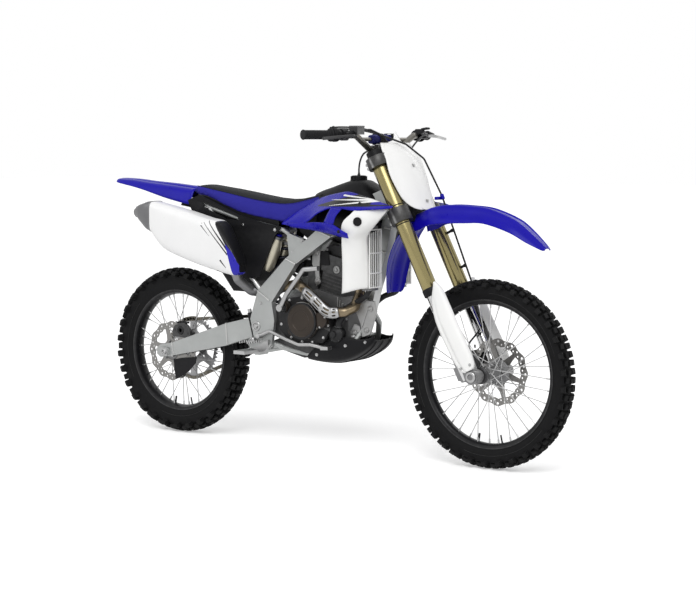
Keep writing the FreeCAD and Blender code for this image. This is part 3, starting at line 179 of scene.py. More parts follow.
def addSheet(bm, outline, y, depth, mat=0):  # flat plate in side view: outline (x, z), place and depth to the left
    addPrism(bm, [at(x, y, z) for x, z in outline], Vector((0, depth * mm, 0)), mat)


def addBlock(bm, centre, size, axes=None, taper=1.0, mat=0):  # size in mm along its three axes
    axes = axes or (forwards, leftwards, upwards)
    corners = []
    for k, share in ((-0.5, 1.0), (0.5, taper)):
        for i, j in ((-0.5, -0.5), (0.5, -0.5), (0.5, 0.5), (-0.5, 0.5)):
            corners.append(bm.verts.new(centre + axes[0] * (size[0] * mm * i * share)
                                        + axes[1] * (size[1] * mm * j * share) + axes[2] * (size[2] * mm * k)))
    for face in ((3, 2, 1, 0), (4, 5, 6, 7), (0, 1, 5, 4), (1, 2, 6, 5), (2, 3, 7, 6), (3, 0, 4, 7)):
        bm.faces.new([corners[i] for i in face]).material_index = mat


def leaned(x, z):  # axes of a block whose length runs along (x, z) in side view
    return Vector((x, 0, z)), leftwards, Vector((-z, 0, x))


def addBolt(bm, place, outward, radius):  # flanged hexagon head
    addTurned(bm, place, outward, ((-1, radius * 1.35), (0.8, radius * 1.35), (1.2, radius * 1.15)), 16)
    addTurned(bm, place, outward, ((0.8, radius), (radius * 0.8, radius), (radius * 0.95, radius * 0.85)), 6)


def addBolts(bm, spots, outward, radius):  # spots (x, z, y) in mm, y away from the middle on the right side
    for x, z, y in spots:
        addBolt(bm, at(x, -y, z), Vector(outward).normalized(), radius)


def addPlate(bm, loops, thickness, origin):  # plate with holes in side view; loops are (x, z) in mm
    curve = bpy.data.curves.new("plateOutline", "CURVE")
    curve.dimensions = "2D"
    curve.fill_mode = "BOTH"
    curve.extrude = thickness * 0.5 * mm
    for loop in loops:
        spline = curve.splines.new("POLY")
        spline.points.add(len(loop) - 1)
        for point, (x, z) in zip(spline.points, loop):
            point.co = (x * mm, z * mm, 0, 1)
        spline.use_cyclic_u = True
    holder = bpy.data.objects.new("plateOutline", curve)
    mesh = bpy.data.meshes.new_from_object(holder)
    mesh.transform(Matrix.Translation(origin) @ Matrix(((1, 0, 0, 0), (0, 0, -1, 0), (0, 1, 0, 0), (0, 0, 0, 1))))
    bm.from_mesh(mesh)
    bpy.data.objects.remove(holder)
    bpy.data.curves.remove(curve)
    bpy.data.meshes.remove(mesh)


def mirrorAll(bm):  # the same again on the other side
    copy = bmesh.ops.duplicate(bm, geom=bm.verts[:] + bm.edges[:] + bm.faces[:])["geom"]
    for vert in (g for g in copy if isinstance(g, bmesh.types.BMVert)):
        vert.co.y = -vert.co.y
    bmesh.ops.reverse_faces(bm, faces=[g for g in copy if isinstance(g, bmesh.types.BMFace)])


def addObject(name, data):
    holder = bpy.data.objects.new(name, data)
    bpy.context.scene.collection.objects.link(holder)
    return holder


def addBevel(piece, width, angle):
    edges = piece.modifiers.new("edges", "BEVEL")
    edges.width = width * mm
    edges.segments = 2
    edges.limit_method = "ANGLE"
    edges.angle_limit = math.radians(angle)
    edges.harden_normals = True


def finishPiece(name, bm, body, finishes, replaces=(), bevel=0.0, thickness=0.0, subdivide=0):
    bmesh.ops.recalc_face_normals(bm, faces=bm.faces)
    mesh = bpy.data.meshes.new(name)
    bm.to_mesh(mesh)
    bm.free()
    piece = addObject(name, mesh)
    for finish in finishes.split():
        mesh.materials.append(skins[finish])
    if subdivide:
        rounder = piece.modifiers.new("rounder", "SUBSURF")
        rounder.levels = rounder.render_levels = subdivide
    if thickness:
        skin = piece.modifiers.new("skin", "SOLIDIFY")
        skin.thickness = thickness * mm
        skin.offset = -1
    if bevel:
        mesh.shade_smooth()
        addBevel(piece, bevel, 32)
    else:
        mesh.set_sharp_from_angle(angle=math.radians(38))
    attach(piece, body)
    if replaces:
        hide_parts(*replaces)
    return piece


def makeBolts(name, body, spots, outward, radius, both=False):  # on the right side, or on both sides
    bm = bmesh.new()
    addBolts(bm, spots, outward, radius)
    if both:
        mirrorAll(bm)
    finishPiece(name, bm, body, "brightSteel")


# shader groups

def feed(tree, socket, value):  # a link from another node or a plain value
    if hasattr(value, "is_output"):
        tree.links.new(value, socket)
    else:
        socket.default_value = value


def newGroup(name, inputs, outputs):
    group = bpy.data.node_groups.new(name, "ShaderNodeTree")
    for label, value in inputs.items():
        kind = "Float" if not isinstance(value, tuple) else "Color" if len(value) == 4 else "Vector"
        group.interface.new_socket(name=label, in_out="INPUT", socket_type="NodeSocket" + kind).default_value = value
    for label, kind in outputs.items():
        group.interface.new_socket(name=label, in_out="OUTPUT", socket_type="NodeSocket" + kind)
    start = group.nodes.new("NodeGroupInput")
    end = group.nodes.new("NodeGroupOutput")
    return group, start.outputs, end.inputs


def addMath(tree, operation, *values):
    node = tree.nodes.new("ShaderNodeMath")
    node.operation = operation
    for socket, value in zip(node.inputs, values):
        feed(tree, socket, value)
    return node.outputs[0]


def addNoise(tree, scale, detail, stretch=None):
    spot = tree.nodes.new("ShaderNodeTexCoord").outputs["Object"]
    if stretch:
        mapping = tree.nodes.new("ShaderNodeMapping")
        mapping.inputs["Scale"].default_value = stretch
        tree.links.new(spot, mapping.inputs["Vector"])
        spot = mapping.outputs[0]
    noise = tree.nodes.new("ShaderNodeTexNoise")
    noise.inputs["Detail"].default_value = detail
    tree.links.new(spot, noise.inputs["Vector"])
    feed(tree, noise.inputs["Scale"], scale)
    return noise.outputs[0]


def addMix(tree, factor, first, second):
    node = tree.nodes.new("ShaderNodeMix")
    node.data_type = "RGBA"
    tree.links.new(factor, node.inputs[0])
    for index, value in ((6, first), (7, second)):
        feed(tree, node.inputs[index], value if hasattr(value, "is_output") else (*value, 1))
    return node.outputs[2]


def addSplit(tree, vector):
    node = tree.nodes.new("ShaderNodeSeparateXYZ")
    tree.links.new(vector, node.inputs[0])
    return node.outputs


def makeMottleGroup():  # uneven colour and gloss, as on moulded, cast or worn surfaces
    group, source, sink = newGroup(
        "mottle", {"Color": (0.5, 0.5, 0.5, 1), "Dark Color": (0.3, 0.3, 0.3, 1), "Scale": 20, "Roughness": 0.4,
                   "Spread": 0.1}, {"Color": "Color", "Roughness": "Float"})
    patches = addNoise(group, source["Scale"], 5)
    smears = addNoise(group, addMath(group, "MULTIPLY", source["Scale"], 4.3), 3)
    group.links.new(addMix(group, patches, source["Color"], source["Dark Color"]), sink["Color"])
    swing = addMath(group, "MULTIPLY", addMath(group, "SUBTRACT", smears, 0.5), source["Spread"])
    group.links.new(addMath(group, "ADD", swing, source["Roughness"]), sink["Roughness"])
    return group


def makeGrainGroup():  # height of a moulded or cast surface
    group, source, sink = newGroup("grain", {"Scale": 900, "Pits": 0.3}, {"Height": "Float"})
    fine = addNoise(group, source["Scale"], 4)
    cells = group.nodes.new("ShaderNodeTexVoronoi")
    group.links.new(group.nodes.new("ShaderNodeTexCoord").outputs["Object"], cells.inputs["Vector"])
    group.links.new(source["Scale"], cells.inputs["Scale"])
    pits = addMath(group, "MULTIPLY", cells.outputs["Distance"], source["Pits"])
    group.links.new(addMath(group, "ADD", fine, pits), sink["Height"])
    return group


def makeWearGroup():  # rubbed edges, where the surface turns out sharply
    group, source, sink = newGroup(
        "edgeWear", {"Color": (0.5, 0.5, 0.5, 1), "Bare Color": (0.7, 0.7, 0.7, 1), "Amount": 0.3, "Scale": 60},
        {"Color": "Color", "Mask": "Float"})
    edge = group.nodes.new("ShaderNodeNewGeometry").outputs["Pointiness"]
    sharp = addMath(group, "MULTIPLY", addMath(group, "SUBTRACT", edge, 0.53), 14)
    patchy = addMath(group, "MULTIPLY", addNoise(group, source["Scale"], 6), 1.6)
    rubbed = addMath(group, "MULTIPLY", addMath(group, "MULTIPLY", sharp, patchy), source["Amount"])
    mask = addMath(group, "MINIMUM", addMath(group, "MAXIMUM", rubbed, 0.0), 1.0)
    group.links.new(addMix(group, mask, source["Color"], source["Bare Color"]), sink["Color"])
    group.links.new(mask, sink["Mask"])
    return group


def makeBrushGroup():  # height of fine lines left by brushing along the bike
    group, source, sink = newGroup("brushedLines", {"Scale": 60}, {"Height": "Float"})
    group.links.new(addNoise(group, source["Scale"], 6, (1, 14, 14)), sink["Height"])
    return group


def makeSlashGroup():  # tapered stripe drawn on the side of the bike
    group, source, sink = newGroup(
        "slash", {"Start": (0, 0, 0), "Along": (1, 0, 0), "Length": 0.1, "First Width": 0.01, "Last Width": 0.0},
        {"Mask": "Float"})

    def calc(operation, *values):
        return addMath(group, operation, *values)

    away = group.nodes.new("ShaderNodeVectorMath")
    away.operation = "SUBTRACT"
    group.links.new(group.nodes.new("ShaderNodeTexCoord").outputs["Object"], away.inputs[0])
    group.links.new(source["Start"], away.inputs[1])
    part, way = addSplit(group, away.outputs[0]), addSplit(group, source["Along"])
    reach = calc("ADD", calc("MULTIPLY", part[0], way[0]), calc("MULTIPLY", part[2], way[2]))
    aside = calc("SUBTRACT", calc("MULTIPLY", part[2], way[0]), calc("MULTIPLY", part[0], way[2]))
    share = calc("DIVIDE", reach, source["Length"])
    gain = calc("MULTIPLY", calc("SUBTRACT", source["Last Width"], source["First Width"]), share)
    width = calc("ADD", source["First Width"], gain)
    inside = calc("LESS_THAN", calc("MULTIPLY", calc("ABSOLUTE", aside), 2.0), width)
    begun = calc("GREATER_THAN", reach, 0.0)
    ended = calc("LESS_THAN", reach, source["Length"])
    group.links.new(calc("MULTIPLY", inside, calc("MULTIPLY", begun, ended)), sink["Mask"])
    return group


groups = {"mottle": makeMottleGroup(), "grain": makeGrainGroup(), "wear": makeWearGroup(),
          "brush": makeBrushGroup(), "slash": makeSlashGroup()}


def addGroup(tree, key, values):
    node = tree.nodes.new("ShaderNodeGroup")
    node.node_tree = groups[key]
    for label, value in values.items():
        feed(tree, node.inputs[label], value)
    return node.outputs


def makeMaterial(name, look):
    material = bpy.data.materials.new(name)
    material.use_nodes = True
    tree = material.node_tree
    shader = tree.nodes["Principled BSDF"]
    for label, value in (("Metallic", look.get("metal", 0.0)), ("Specular IOR Level", look.get("specular", 0.5)),
                         ("Anisotropic", look.get("anisotropic", 0.0))):
        shader.inputs[label].default_value = value
    mottle = addGroup(tree, "mottle", {"Color": (*look["color"], 1), "Dark Color": (*look["darker"], 1),
                                       "Scale": look.get("patches", 14), "Roughness": look["roughness"],
                                       "Spread": look.get("spread", 0.12)})
    shown = mottle["Color"]
    for x, z, along, up, length, first, last, color in look.get("slashes", ()):
        mask = addGroup(tree, "slash", {"Start": at(x, 0, z), "Along": (along, 0, up), "Length": length * mm,
                                        "First Width": first * mm, "Last Width": last * mm})
        shown = addMix(tree, mask["Mask"], shown, color)
    if look.get("wear"):
        shown = addGroup(tree, "wear", {"Color": shown, "Amount": look["wear"],
                                        "Bare Color": (*look.get("bare", (0.6, 0.6, 0.6)), 1)})["Color"]
    tree.links.new(shown, shader.inputs["Base Color"])
    tree.links.new(mottle["Roughness"], shader.inputs["Roughness"])
    if look.get("brushed"):
        height = addGroup(tree, "brush", {"Scale": look["brushed"]})
    else:
        height = addGroup(tree, "grain", {"Scale": look.get("grain", 700), "Pits": look.get("pits", 0.3)})
    bump = tree.nodes.new("ShaderNodeBump")
    bump.inputs["Strength"].default_value = look.get("bump", 0.08)
    bump.inputs["Distance"].default_value = look.get("depth", 0.3) * mm
    tree.links.new(height["Height"], bump.inputs["Height"])
    tree.links.new(bump.outputs[0], shader.inputs["Normal"])
    return material


# finishes

inBlue = (0.008, 0.004, 0.34)
inWhite = (0.82, 0.82, 0.81)
inBlack = (0.006, 0.006, 0.007)
# each stripe: start x and z in mm, direction along and up, length, first and last width, colour
slashes = {
    "shroud": ((780, 944, 0.985, 0.12, 275, 4, 60, inBlack), (850, 968, 0.998, 0.02, 262, 1, 10, inWhite),
               (862, 947, 0.992, 0.1, 230, 1, 8, inWhite), (905, 986, 0.996, -0.08, 180, 6, 1, inWhite),
               (1040, 951, 0.998, 0.03, 120, 8, 2, inBlack)),
    "muffler": ((350, 886, 0.62, -0.785, 170, 3, 26, inBlack), (328, 880, 0.66, -0.75, 176, 2, 10, inBlack),
                (308, 874, 0.69, -0.72, 170, 2, 6, inBlack), (296, 862, 0.72, -0.69, 60, 4, 1, inBlack),
                (416, 790, 0.5, -0.866, 125, 2, 62, inBlue), (390, 730, 0.69, -0.72, 42, 7, 2, inBlack)),
}
looks = {
    "bluePlastic": dict(color=inBlue, darker=(0.005, 0.003, 0.27), roughness=0.3, spread=0.14, specular=0.13,
        wear=0.1, bare=(0.04, 0.05, 0.35), grain=500, bump=0.03),
    "shroudPlastic": dict(color=inBlue, darker=(0.005, 0.003, 0.28), roughness=0.28, specular=0.13,
        slashes=slashes["shroud"], wear=0.08, bare=(0.06, 0.07, 0.4), grain=500, bump=0.03),
    "whitePlastic": dict(color=inWhite, darker=(0.75, 0.75, 0.74), roughness=0.38, specular=0.35, grain=500,
        bump=0.03),
    "blackPlastic": dict(color=(0.005, 0.005, 0.006), darker=(0.003, 0.003, 0.004), roughness=0.5, spread=0.16,
        specular=0.16, wear=0.2, bare=(0.05, 0.05, 0.05), grain=900, bump=0.12),
    "seatTop": dict(color=(0.02, 0.021, 0.024), darker=(0.013, 0.014, 0.016), roughness=0.8, spread=0.1,
        specular=0.15, grain=420, pits=1.4, bump=0.5, depth=0.6),
    "padCover": dict(color=(0.014, 0.016, 0.12), darker=(0.01, 0.011, 0.08), roughness=0.6, specular=0.2, pits=0.8,
        bump=0.25),
    "tyreRubber": dict(color=(0.0045, 0.0045, 0.005), darker=(0.003, 0.003, 0.0033), roughness=0.62, specular=0.13,
        spread=0.16, wear=0.3, bare=(0.035, 0.035, 0.035), grain=260, pits=0.5, bump=0.25, depth=0.5),
    "blackRubber": dict(color=(0.009, 0.009, 0.01), darker=(0.006, 0.006, 0.007), roughness=0.6, specular=0.2,
        grain=500, pits=0.6, bump=0.15),
    "rimBlack": dict(color=(0.006, 0.006, 0.007), darker=(0.004, 0.004, 0.005), metal=0.2, roughness=0.34,
        specular=0.18, wear=0.3, bare=(0.2, 0.2, 0.2), bump=0.03),
    "spokeSteel": dict(color=(0.5, 0.5, 0.5), darker=(0.4, 0.4, 0.4), metal=1.0, roughness=0.3, bump=0.03),
    "hubAlloy": dict(color=(0.24, 0.24, 0.242), darker=(0.15, 0.15, 0.152), metal=0.85, roughness=0.4, grain=400,
        bump=0.15),
    "frameAluminium": dict(color=(0.4, 0.41, 0.405), darker=(0.3, 0.31, 0.305), metal=0.75, roughness=0.42,
        spread=0.2, wear=0.4, bare=(0.55, 0.55, 0.55), brushed=38, bump=0.2),
    "weldBead": dict(color=(0.62, 0.62, 0.61), darker=(0.36, 0.36, 0.355), metal=0.9, roughness=0.34, grain=300,
        bump=0.15),
    "engineGrey": dict(color=(0.13, 0.13, 0.13), darker=(0.07, 0.07, 0.072), metal=0.6, roughness=0.5, wear=0.6,
        bare=(0.4, 0.4, 0.4), grain=420, pits=0.7, bump=0.3, depth=0.5),
    "castSilver": dict(color=(0.34, 0.34, 0.335), darker=(0.2, 0.2, 0.2), metal=0.8, roughness=0.45, wear=0.5,
        bare=(0.6, 0.6, 0.6), grain=420, pits=0.6, bump=0.3, depth=0.5),
    "coverBronze": dict(color=(0.042, 0.032, 0.025), darker=(0.024, 0.019, 0.015), metal=0.6, roughness=0.36,
        specular=0.4, wear=0.6, bare=(0.3, 0.27, 0.24), grain=500, bump=0.15),
    # near-black: a dark finish, and on the cylinder and engine covers under the tank this darkness also paints the
    # tank's shade
    "engineDark": dict(color=(0.022, 0.022, 0.023), darker=(0.012, 0.012, 0.013), metal=0.4, roughness=0.5,
        specular=0.3, wear=0.6, bare=(0.2, 0.2, 0.2), grain=420, pits=0.7, bump=0.3),
    "mufflerWhite": dict(color=(0.8, 0.8, 0.8), darker=(0.74, 0.74, 0.74), roughness=0.3, specular=0.4,
        slashes=slashes["muffler"], bump=0.03),
    "mufflerEnd": dict(color=(0.2, 0.2, 0.205), darker=(0.12, 0.12, 0.125), metal=0.85, roughness=0.4, patches=8,
        wear=0.3, brushed=50, bump=0.12),
    "darkSteel": dict(color=(0.06, 0.06, 0.062), darker=(0.035, 0.035, 0.036), metal=0.8, roughness=0.42, wear=0.3,
        brushed=50, bump=0.12),
    "headerBronze": dict(color=(0.3, 0.24, 0.15), darker=(0.12, 0.095, 0.07), metal=0.95, roughness=0.3, patches=9,
        wear=0.2, brushed=40, bump=0.08),
    "radiatorSilver": dict(color=(0.3, 0.3, 0.305), darker=(0.2, 0.2, 0.2), metal=0.8, roughness=0.5, bump=0.1),
    "radiatorCore": dict(color=(0.012, 0.012, 0.013), darker=(0.03, 0.03, 0.033), metal=0.3, roughness=0.6,
        specular=0.2, patches=400, bump=0.3),
    "brightSteel": dict(color=(0.44, 0.44, 0.44), darker=(0.3, 0.3, 0.3), metal=0.95, roughness=0.3, wear=0.2,
        brushed=40, bump=0.08),
    "handlebarAlloy": dict(color=(0.2, 0.19, 0.17), darker=(0.14, 0.135, 0.12), metal=0.85, roughness=0.34,
        brushed=60, bump=0.08),
    "chainSteel": dict(color=(0.26, 0.24, 0.2), darker=(0.1, 0.095, 0.08), metal=0.9, roughness=0.38, patches=60,
        bump=0.1),
    "clampGrey": dict(color=(0.034, 0.033, 0.032), darker=(0.02, 0.0195, 0.019), metal=0.6, roughness=0.42,
        specular=0.35, wear=0.5, bare=(0.3, 0.3, 0.3), grain=500, bump=0.12),
    "forkGold": dict(color=(0.31, 0.265, 0.125), darker=(0.24, 0.205, 0.095), metal=0.9, roughness=0.2, patches=6,
        bump=0.02),
    "forkChrome": dict(color=(0.6, 0.6, 0.6), darker=(0.5, 0.5, 0.5), metal=1.0, roughness=0.12, bump=0.01),
    "reservoirGold": dict(color=(0.5, 0.47, 0.38), darker=(0.4, 0.37, 0.29), metal=0.7, roughness=0.34, bump=0.04),
    "springBlack": dict(color=(0.02, 0.022, 0.04), darker=(0.014, 0.015, 0.026), metal=0.2, roughness=0.35,
        specular=0.4, bump=0.03),
    "discSteel": dict(color=(0.26, 0.255, 0.245), darker=(0.17, 0.165, 0.16), metal=1.0, roughness=0.3,
        anisotropic=0.5, bump=0.06, grain=300),
    "sprocketAlloy": dict(color=(0.36, 0.36, 0.365), darker=(0.26, 0.26, 0.265), metal=0.9, roughness=0.32, wear=0.3,
        bump=0.06),
    "hoseBlack": dict(color=(0.007, 0.007, 0.008), darker=(0.005, 0.005, 0.006), roughness=0.45, specular=0.3,
        grain=300, bump=0.06),
}
skins = {name: makeMaterial(name, look) for name, look in looks.items()}
print("finishes made")


# camera, floor and light, as a studio photograph

shot = {"place": (4.20917, -5.49048, 0.21737), "turn": 35.754, "lift": 5.017, "focus": 1779.13, "across": 696,
        "sensor": 36, "reach": 100}
studio = {"floorColor": 0.88, "floorGlow": 0.3, "floorReach": 40, "floorRoughness": 0.9, "floorShine": 0.1,
          "world": 0.6, "sunPower": 1.4, "sunWide": 40, "sunTurn": (38, 12, 20),
          "sideLamps": ((2.2, -3.4, 2.6, 34), (-3.0, -3.0, 2.2, 22), (0.5, 3.6, 2.4, 26)), "lampSize": 2.2}


def seenDirectly(tree):  # one where the camera, a mirror or glass looks, none where light bounces
    rays = tree.nodes.new("ShaderNodeLightPath").outputs
    seen = addMath(tree, "MAXIMUM", rays["Is Camera Ray"], rays["Is Glossy Ray"])
    return addMath(tree, "MAXIMUM", seen, rays["Is Transmission Ray"])


def makeCamera():
    lens = bpy.data.cameras.new("camera")
    lens.sensor_width = shot["sensor"]
    lens.lens = shot["focus"] * shot["sensor"] / shot["across"]
    lens.clip_end = shot["reach"]
    camera = addObject("camera", lens)
    a, e = math.radians(shot["turn"]), math.radians(shot["lift"])
    back = Vector((math.sin(a) * math.cos(e), -math.cos(a) * math.cos(e), math.sin(e)))
    right = Vector((math.cos(a), math.sin(a), 0))
    camera.matrix_world = Matrix.Translation(shot["place"]) @ Matrix(
        (right, back.cross(right), back)).transposed().to_4x4()
    bpy.context.scene.camera = camera


def makeFloor():
    material = bpy.data.materials.new("paleFloor")
    material.use_nodes = True
    tree = material.node_tree
    shader = tree.nodes["Principled BSDF"].inputs
    shader["Roughness"].default_value = studio["floorRoughness"]
    shader["Specular IOR Level"].default_value = studio["floorShine"]
    pale = studio["floorColor"]
    tree.links.new(addMix(tree, addNoise(tree, 3, 2), [pale] * 3, [pale * 0.99] * 3), shader["Base Color"])
    shader["Emission Color"].default_value = (1, 1, 1, 1)
    tree.links.new(addMath(tree, "MULTIPLY", seenDirectly(tree), studio["floorGlow"]), shader["Emission Strength"])
    mesh = bpy.data.meshes.new("floor")
    corners = [(x * studio["floorReach"], y * studio["floorReach"], ground)
               for x, y in ((-1, -1), (1, -1), (1, 1), (-1, 1))]
    mesh.from_pydata(corners, [], [(0, 1, 2, 3)])
    mesh.materials.append(material)
    addObject("floor", mesh)


def makeLight():
    world = bpy.data.worlds.new("studio")
    bpy.context.scene.world = world
    world.use_nodes = True
    plain = world.node_tree.nodes["Background"].inputs
    plain["Color"].default_value = (1, 1, 1, 1)
    extra = addMath(world.node_tree, "MULTIPLY", seenDirectly(world.node_tree), 1 - studio["world"])
    world.node_tree.links.new(addMath(world.node_tree, "ADD", extra, studio["world"]), plain["Strength"])
    sun = bpy.data.lights.new("sun", "SUN")
    sun.energy = studio["sunPower"]
    sun.angle = math.radians(studio["sunWide"])
    addObject("sun", sun).rotation_euler = [math.radians(turn) for turn in studio["sunTurn"]]
    for i, (x, y, z, power) in enumerate(studio["sideLamps"]):
        lamp = bpy.data.lights.new("lamp%d" % i, "AREA")
        lamp.energy = power
        lamp.size = studio["lampSize"]
        holder = addObject(lamp.name, lamp)
        holder.location = (x, y, z)
        holder.rotation_euler = (-Vector((x, y, z))).to_track_quat("-Z", "Y").to_euler()
    bpy.context.scene.view_settings.view_transform = "Standard"


makeCamera()
makeFloor()
makeLight()
print("studio ready")


# wheels; sizes in mm, each knob of a pitch: turn share, side share, length, width and tilt in degrees

wheelSizes = {
    "front": {
        "axle": frontAxle, "body": "front_wheel", "radius": 345.7, "half": 43, "bead": 271, "rimHalf": 21,
        "hubHalf": 58, "flange": 30, "hubLeft": 58, "discRadius": 125, "discSide": 60, "spacerSide": -58,
        "spacerRadius": 31, "pitches": 34, "knobHeight": 16,
        "knobs": ((0.0, 0.2, 19, 14, 0), (0.04, 0.62, 23, 13, 8), (0.5, 0.42, 19, 13, 0), (0.5, 0.0, 17, 10, 0),
                  (0.52, 0.88, 26, 13, -6), (0.02, 1.02, 22, 13, 0))},
    "rear": {
        "axle": rearAxle, "body": "rear_wheel", "radius": 336.7, "half": 53, "bead": 246, "rimHalf": 28,
        "hubHalf": 62, "flange": 38, "hubLeft": 68.5, "discRadius": 122, "discSide": -64, "spacerSide": -67,
        "spacerRadius": 25, "pitches": 30, "knobHeight": 20,
        "knobs": ((0.0, 0.22, 21, 20, 0), (0.04, 0.64, 26, 16, 9), (0.5, 0.0, 19, 21, 0), (0.5, 0.46, 21, 15, 0),
                  (0.53, 0.86, 30, 15, -7), (0.02, 1.01, 25, 15, 0))},
}
tread = {"curve": 1.35, "drop": 0.625, "lean": 1.25, "sunk": 0.98, "taper": 0.84, "rooted": 2.5,
         "ribTurns": (0.3, 2.4, 4.4)}
spokes = {"count": 36, "lean": 62, "radius": 1.75, "nipple": 3.1}
disc = {"thickness": 3.4, "wave": 3.2, "waves": 12, "inner": 34, "armStart": 0.26, "boltRadius": 42,
        "window": ((-0.44, 0.75), (-0.28, 0.78), (-0.13, 0.745), (0.0, 0.78), (0.13, 0.745), (0.28, 0.78),
                   (0.44, 0.75), (0.37, 0.56), (0.24, 0.41), (0.0, 0.375), (-0.24, 0.41), (-0.37, 0.56))}


def crown(size, share):  # radius, side and outward tilt of the tread at a share of the half width
    drop = tread["drop"] * size["half"] * (1 - math.cos(share * tread["curve"]))
    return size["radius"] - drop, share * size["half"], share * tread["lean"]


def makeTyre(side):
    size = wheelSizes[side]
    axle, bead, rimHalf, pitches = size["axle"], size["bead"], size["rimHalf"], size["pitches"]
    bm = bmesh.new()
    profile = []
    for share in (k / 12 for k in range(-12, 13)):
        radius, across, tilt = crown(size, share)
        depth = size["knobHeight"] * tread["sunk"]
        profile.append((across - math.sin(tilt) * depth, radius - math.cos(tilt) * depth))
    lastSide, lastRadius = profile[-1]
    wall = [(lastSide + 1.5, lastRadius - 14), (lastSide + 0.5, lastRadius - 26), (rimHalf + 5, bead + 14),
            (rimHalf + 0.5, bead + 7), (rimHalf - 1, bead + 1), (rimHalf - 4, bead - 1)]
    profile += wall + [(-across, radius) for across, radius in reversed(wall)]
    addRing(bm, axle, leftwards, profile, 120)
    for turn in tread["ribTurns"]:  # moulded ribs round the side walls
        for flank in (-1, 1):
            line = [onCircle(axle, turn + k * 0.03, bead + 25, flank * (lastSide + 0.4)) for k in range(42)]
            addTube(bm, line, 0.8, 6)
    height = size["knobHeight"] + tread["rooted"]
    for pitch in range(pitches):
        for turnShare, sideShare, length, width, tilt in size["knobs"]:
            for flank in ((-1, 1) if sideShare else (1,)):
                turn = 2 * math.pi * (pitch + turnShare + (0.5 if flank < 0 and sideShare > 0.9 else 0)) / pitches
                radius, across, lean = crown(size, flank * sideShare)
                outward = Vector((math.cos(turn) * math.cos(lean), math.sin(lean), math.sin(turn) * math.cos(lean)))
                onward = Vector((-math.sin(turn), 0, math.cos(turn)))
                onward = Matrix.Rotation(math.radians(tilt * flank), 3, outward) @ onward
                middle = onCircle(axle, turn, radius, across) - outward * ((height * 0.5 + 0.7) * mm)
                addBlock(bm, middle, (length, width, height), (onward, outward.cross(onward), outward),
                         tread["taper"])
    finishPiece(side + "_tyre_tread", bm, size["body"], "tyreRubber", (side + "_tyre",), bevel=1.1)


def makeWheel(side):
    size = wheelSizes[side]
    axle, body, bead, half = size["axle"], size["body"], size["bead"], size["rimHalf"]
    bm = bmesh.new()
    wings = ((half, 1), (half - 2.5, 1), (half - 3.5, -5), (half * 0.5, -10))
    belly = ((half + 0.3, -4), (half - 3, -11), (half * 0.5, -16), (half * 0.3, -17.5))
    across = [(-a, r) for a, r in wings] + list(reversed(wings)) + list(belly) + [(-a, r) for a, r in reversed(belly)]
    addRing(bm, axle, leftwards, [(a, bead + r) for a, r in across], 120)
    for turn, wide in ((-1.35, 3), (-1.75, 4)):  # valve stem and rim lock
        foot = onCircle(axle, turn, bead - 16)
        profile = ((0, wide * 1.8), (2, wide * 1.8), (2.5, wide), (30, wide), (31, wide * 0.7))
        addTurned(bm, foot, axle - foot, profile, 12)
    finishPiece(side + "_rim", bm, body, "rimBlack")

    bm = bmesh.new()
    hub, flange, end = size["hubHalf"], size["flange"], size["hubLeft"]
    step = [(hub * 0.3, 20), (hub * 0.47, flange - 5), (hub * 0.5, flange), (hub * 0.62, flange),
            (hub * 0.64, flange - 4)]
    addRing(bm, axle, leftwards, [(-hub, 13), (-hub, 22), (-hub * 0.66, 22)] + [(-a, r) for a, r in reversed(step)]
            + [(0, 18)] + step + [(hub * 0.66, 24), (end, 24), (end, 13)], 64)
    for flank in (-1, 1):
        for turn in turnsOf(6, 0.3):
            addTube(bm, [onCircle(axle, turn, 21, flank * hub * 0.66),
                         onCircle(axle, turn, flange - 2, flank * hub * 0.6)], 3.2, 6)
    finishPiece(side + "_hub", bm, body, "hubAlloy", (side + "_wire_wheel",), bevel=0.6)

    bm = bmesh.new()
    for index, turn in enumerate(turnsOf(spokes["count"])):
        hand = 1 if index % 4 < 2 else -1
        flank = 1 if index % 2 else -1
        leant = turn + hand * math.radians(spokes["lean"])
        foot = onCircle(axle, leant, flange - 3, flank * (hub * 0.56 + hand * 2.2))
        tip = onCircle(axle, turn, bead - 10, flank * half * 0.25)
        addTube(bm, [foot, tip], spokes["radius"], 8)
        ahead = (foot - tip).normalized() * mm
        addTube(bm, [tip + ahead * 4, tip + ahead * 22], spokes["nipple"], 6)
    finishPiece(side + "_spokes", bm, body, "spokeSteel")


def discLoops(radius):  # wavy ring of open cells on slim arms
    loops = [[polar(radius - 3.4 + disc["wave"] * math.cos(turn * disc["waves"]), turn) for turn in turnsOf(144)],
             circle(disc["inner"], 36)]
    for k, turn in enumerate(turnsOf(24)):
        big = k % 2 == 0
        loops.append(circle(5.0 if big else 4.0, 10, *polar(radius - (10.5 if big else 13.5), turn)))
        loops.append(circle(3.6, 8, polar(radius - 22, turn + 0.13)[0], polar(radius - 22.5, turn + 0.13)[1]))
    for turn in turnsOf(6, disc["armStart"]):  # wide windows between the arms, their outer edge wavy
        loops.append([polar(radius * reach, turn + aside) for aside, reach in disc["window"]])
    return loops


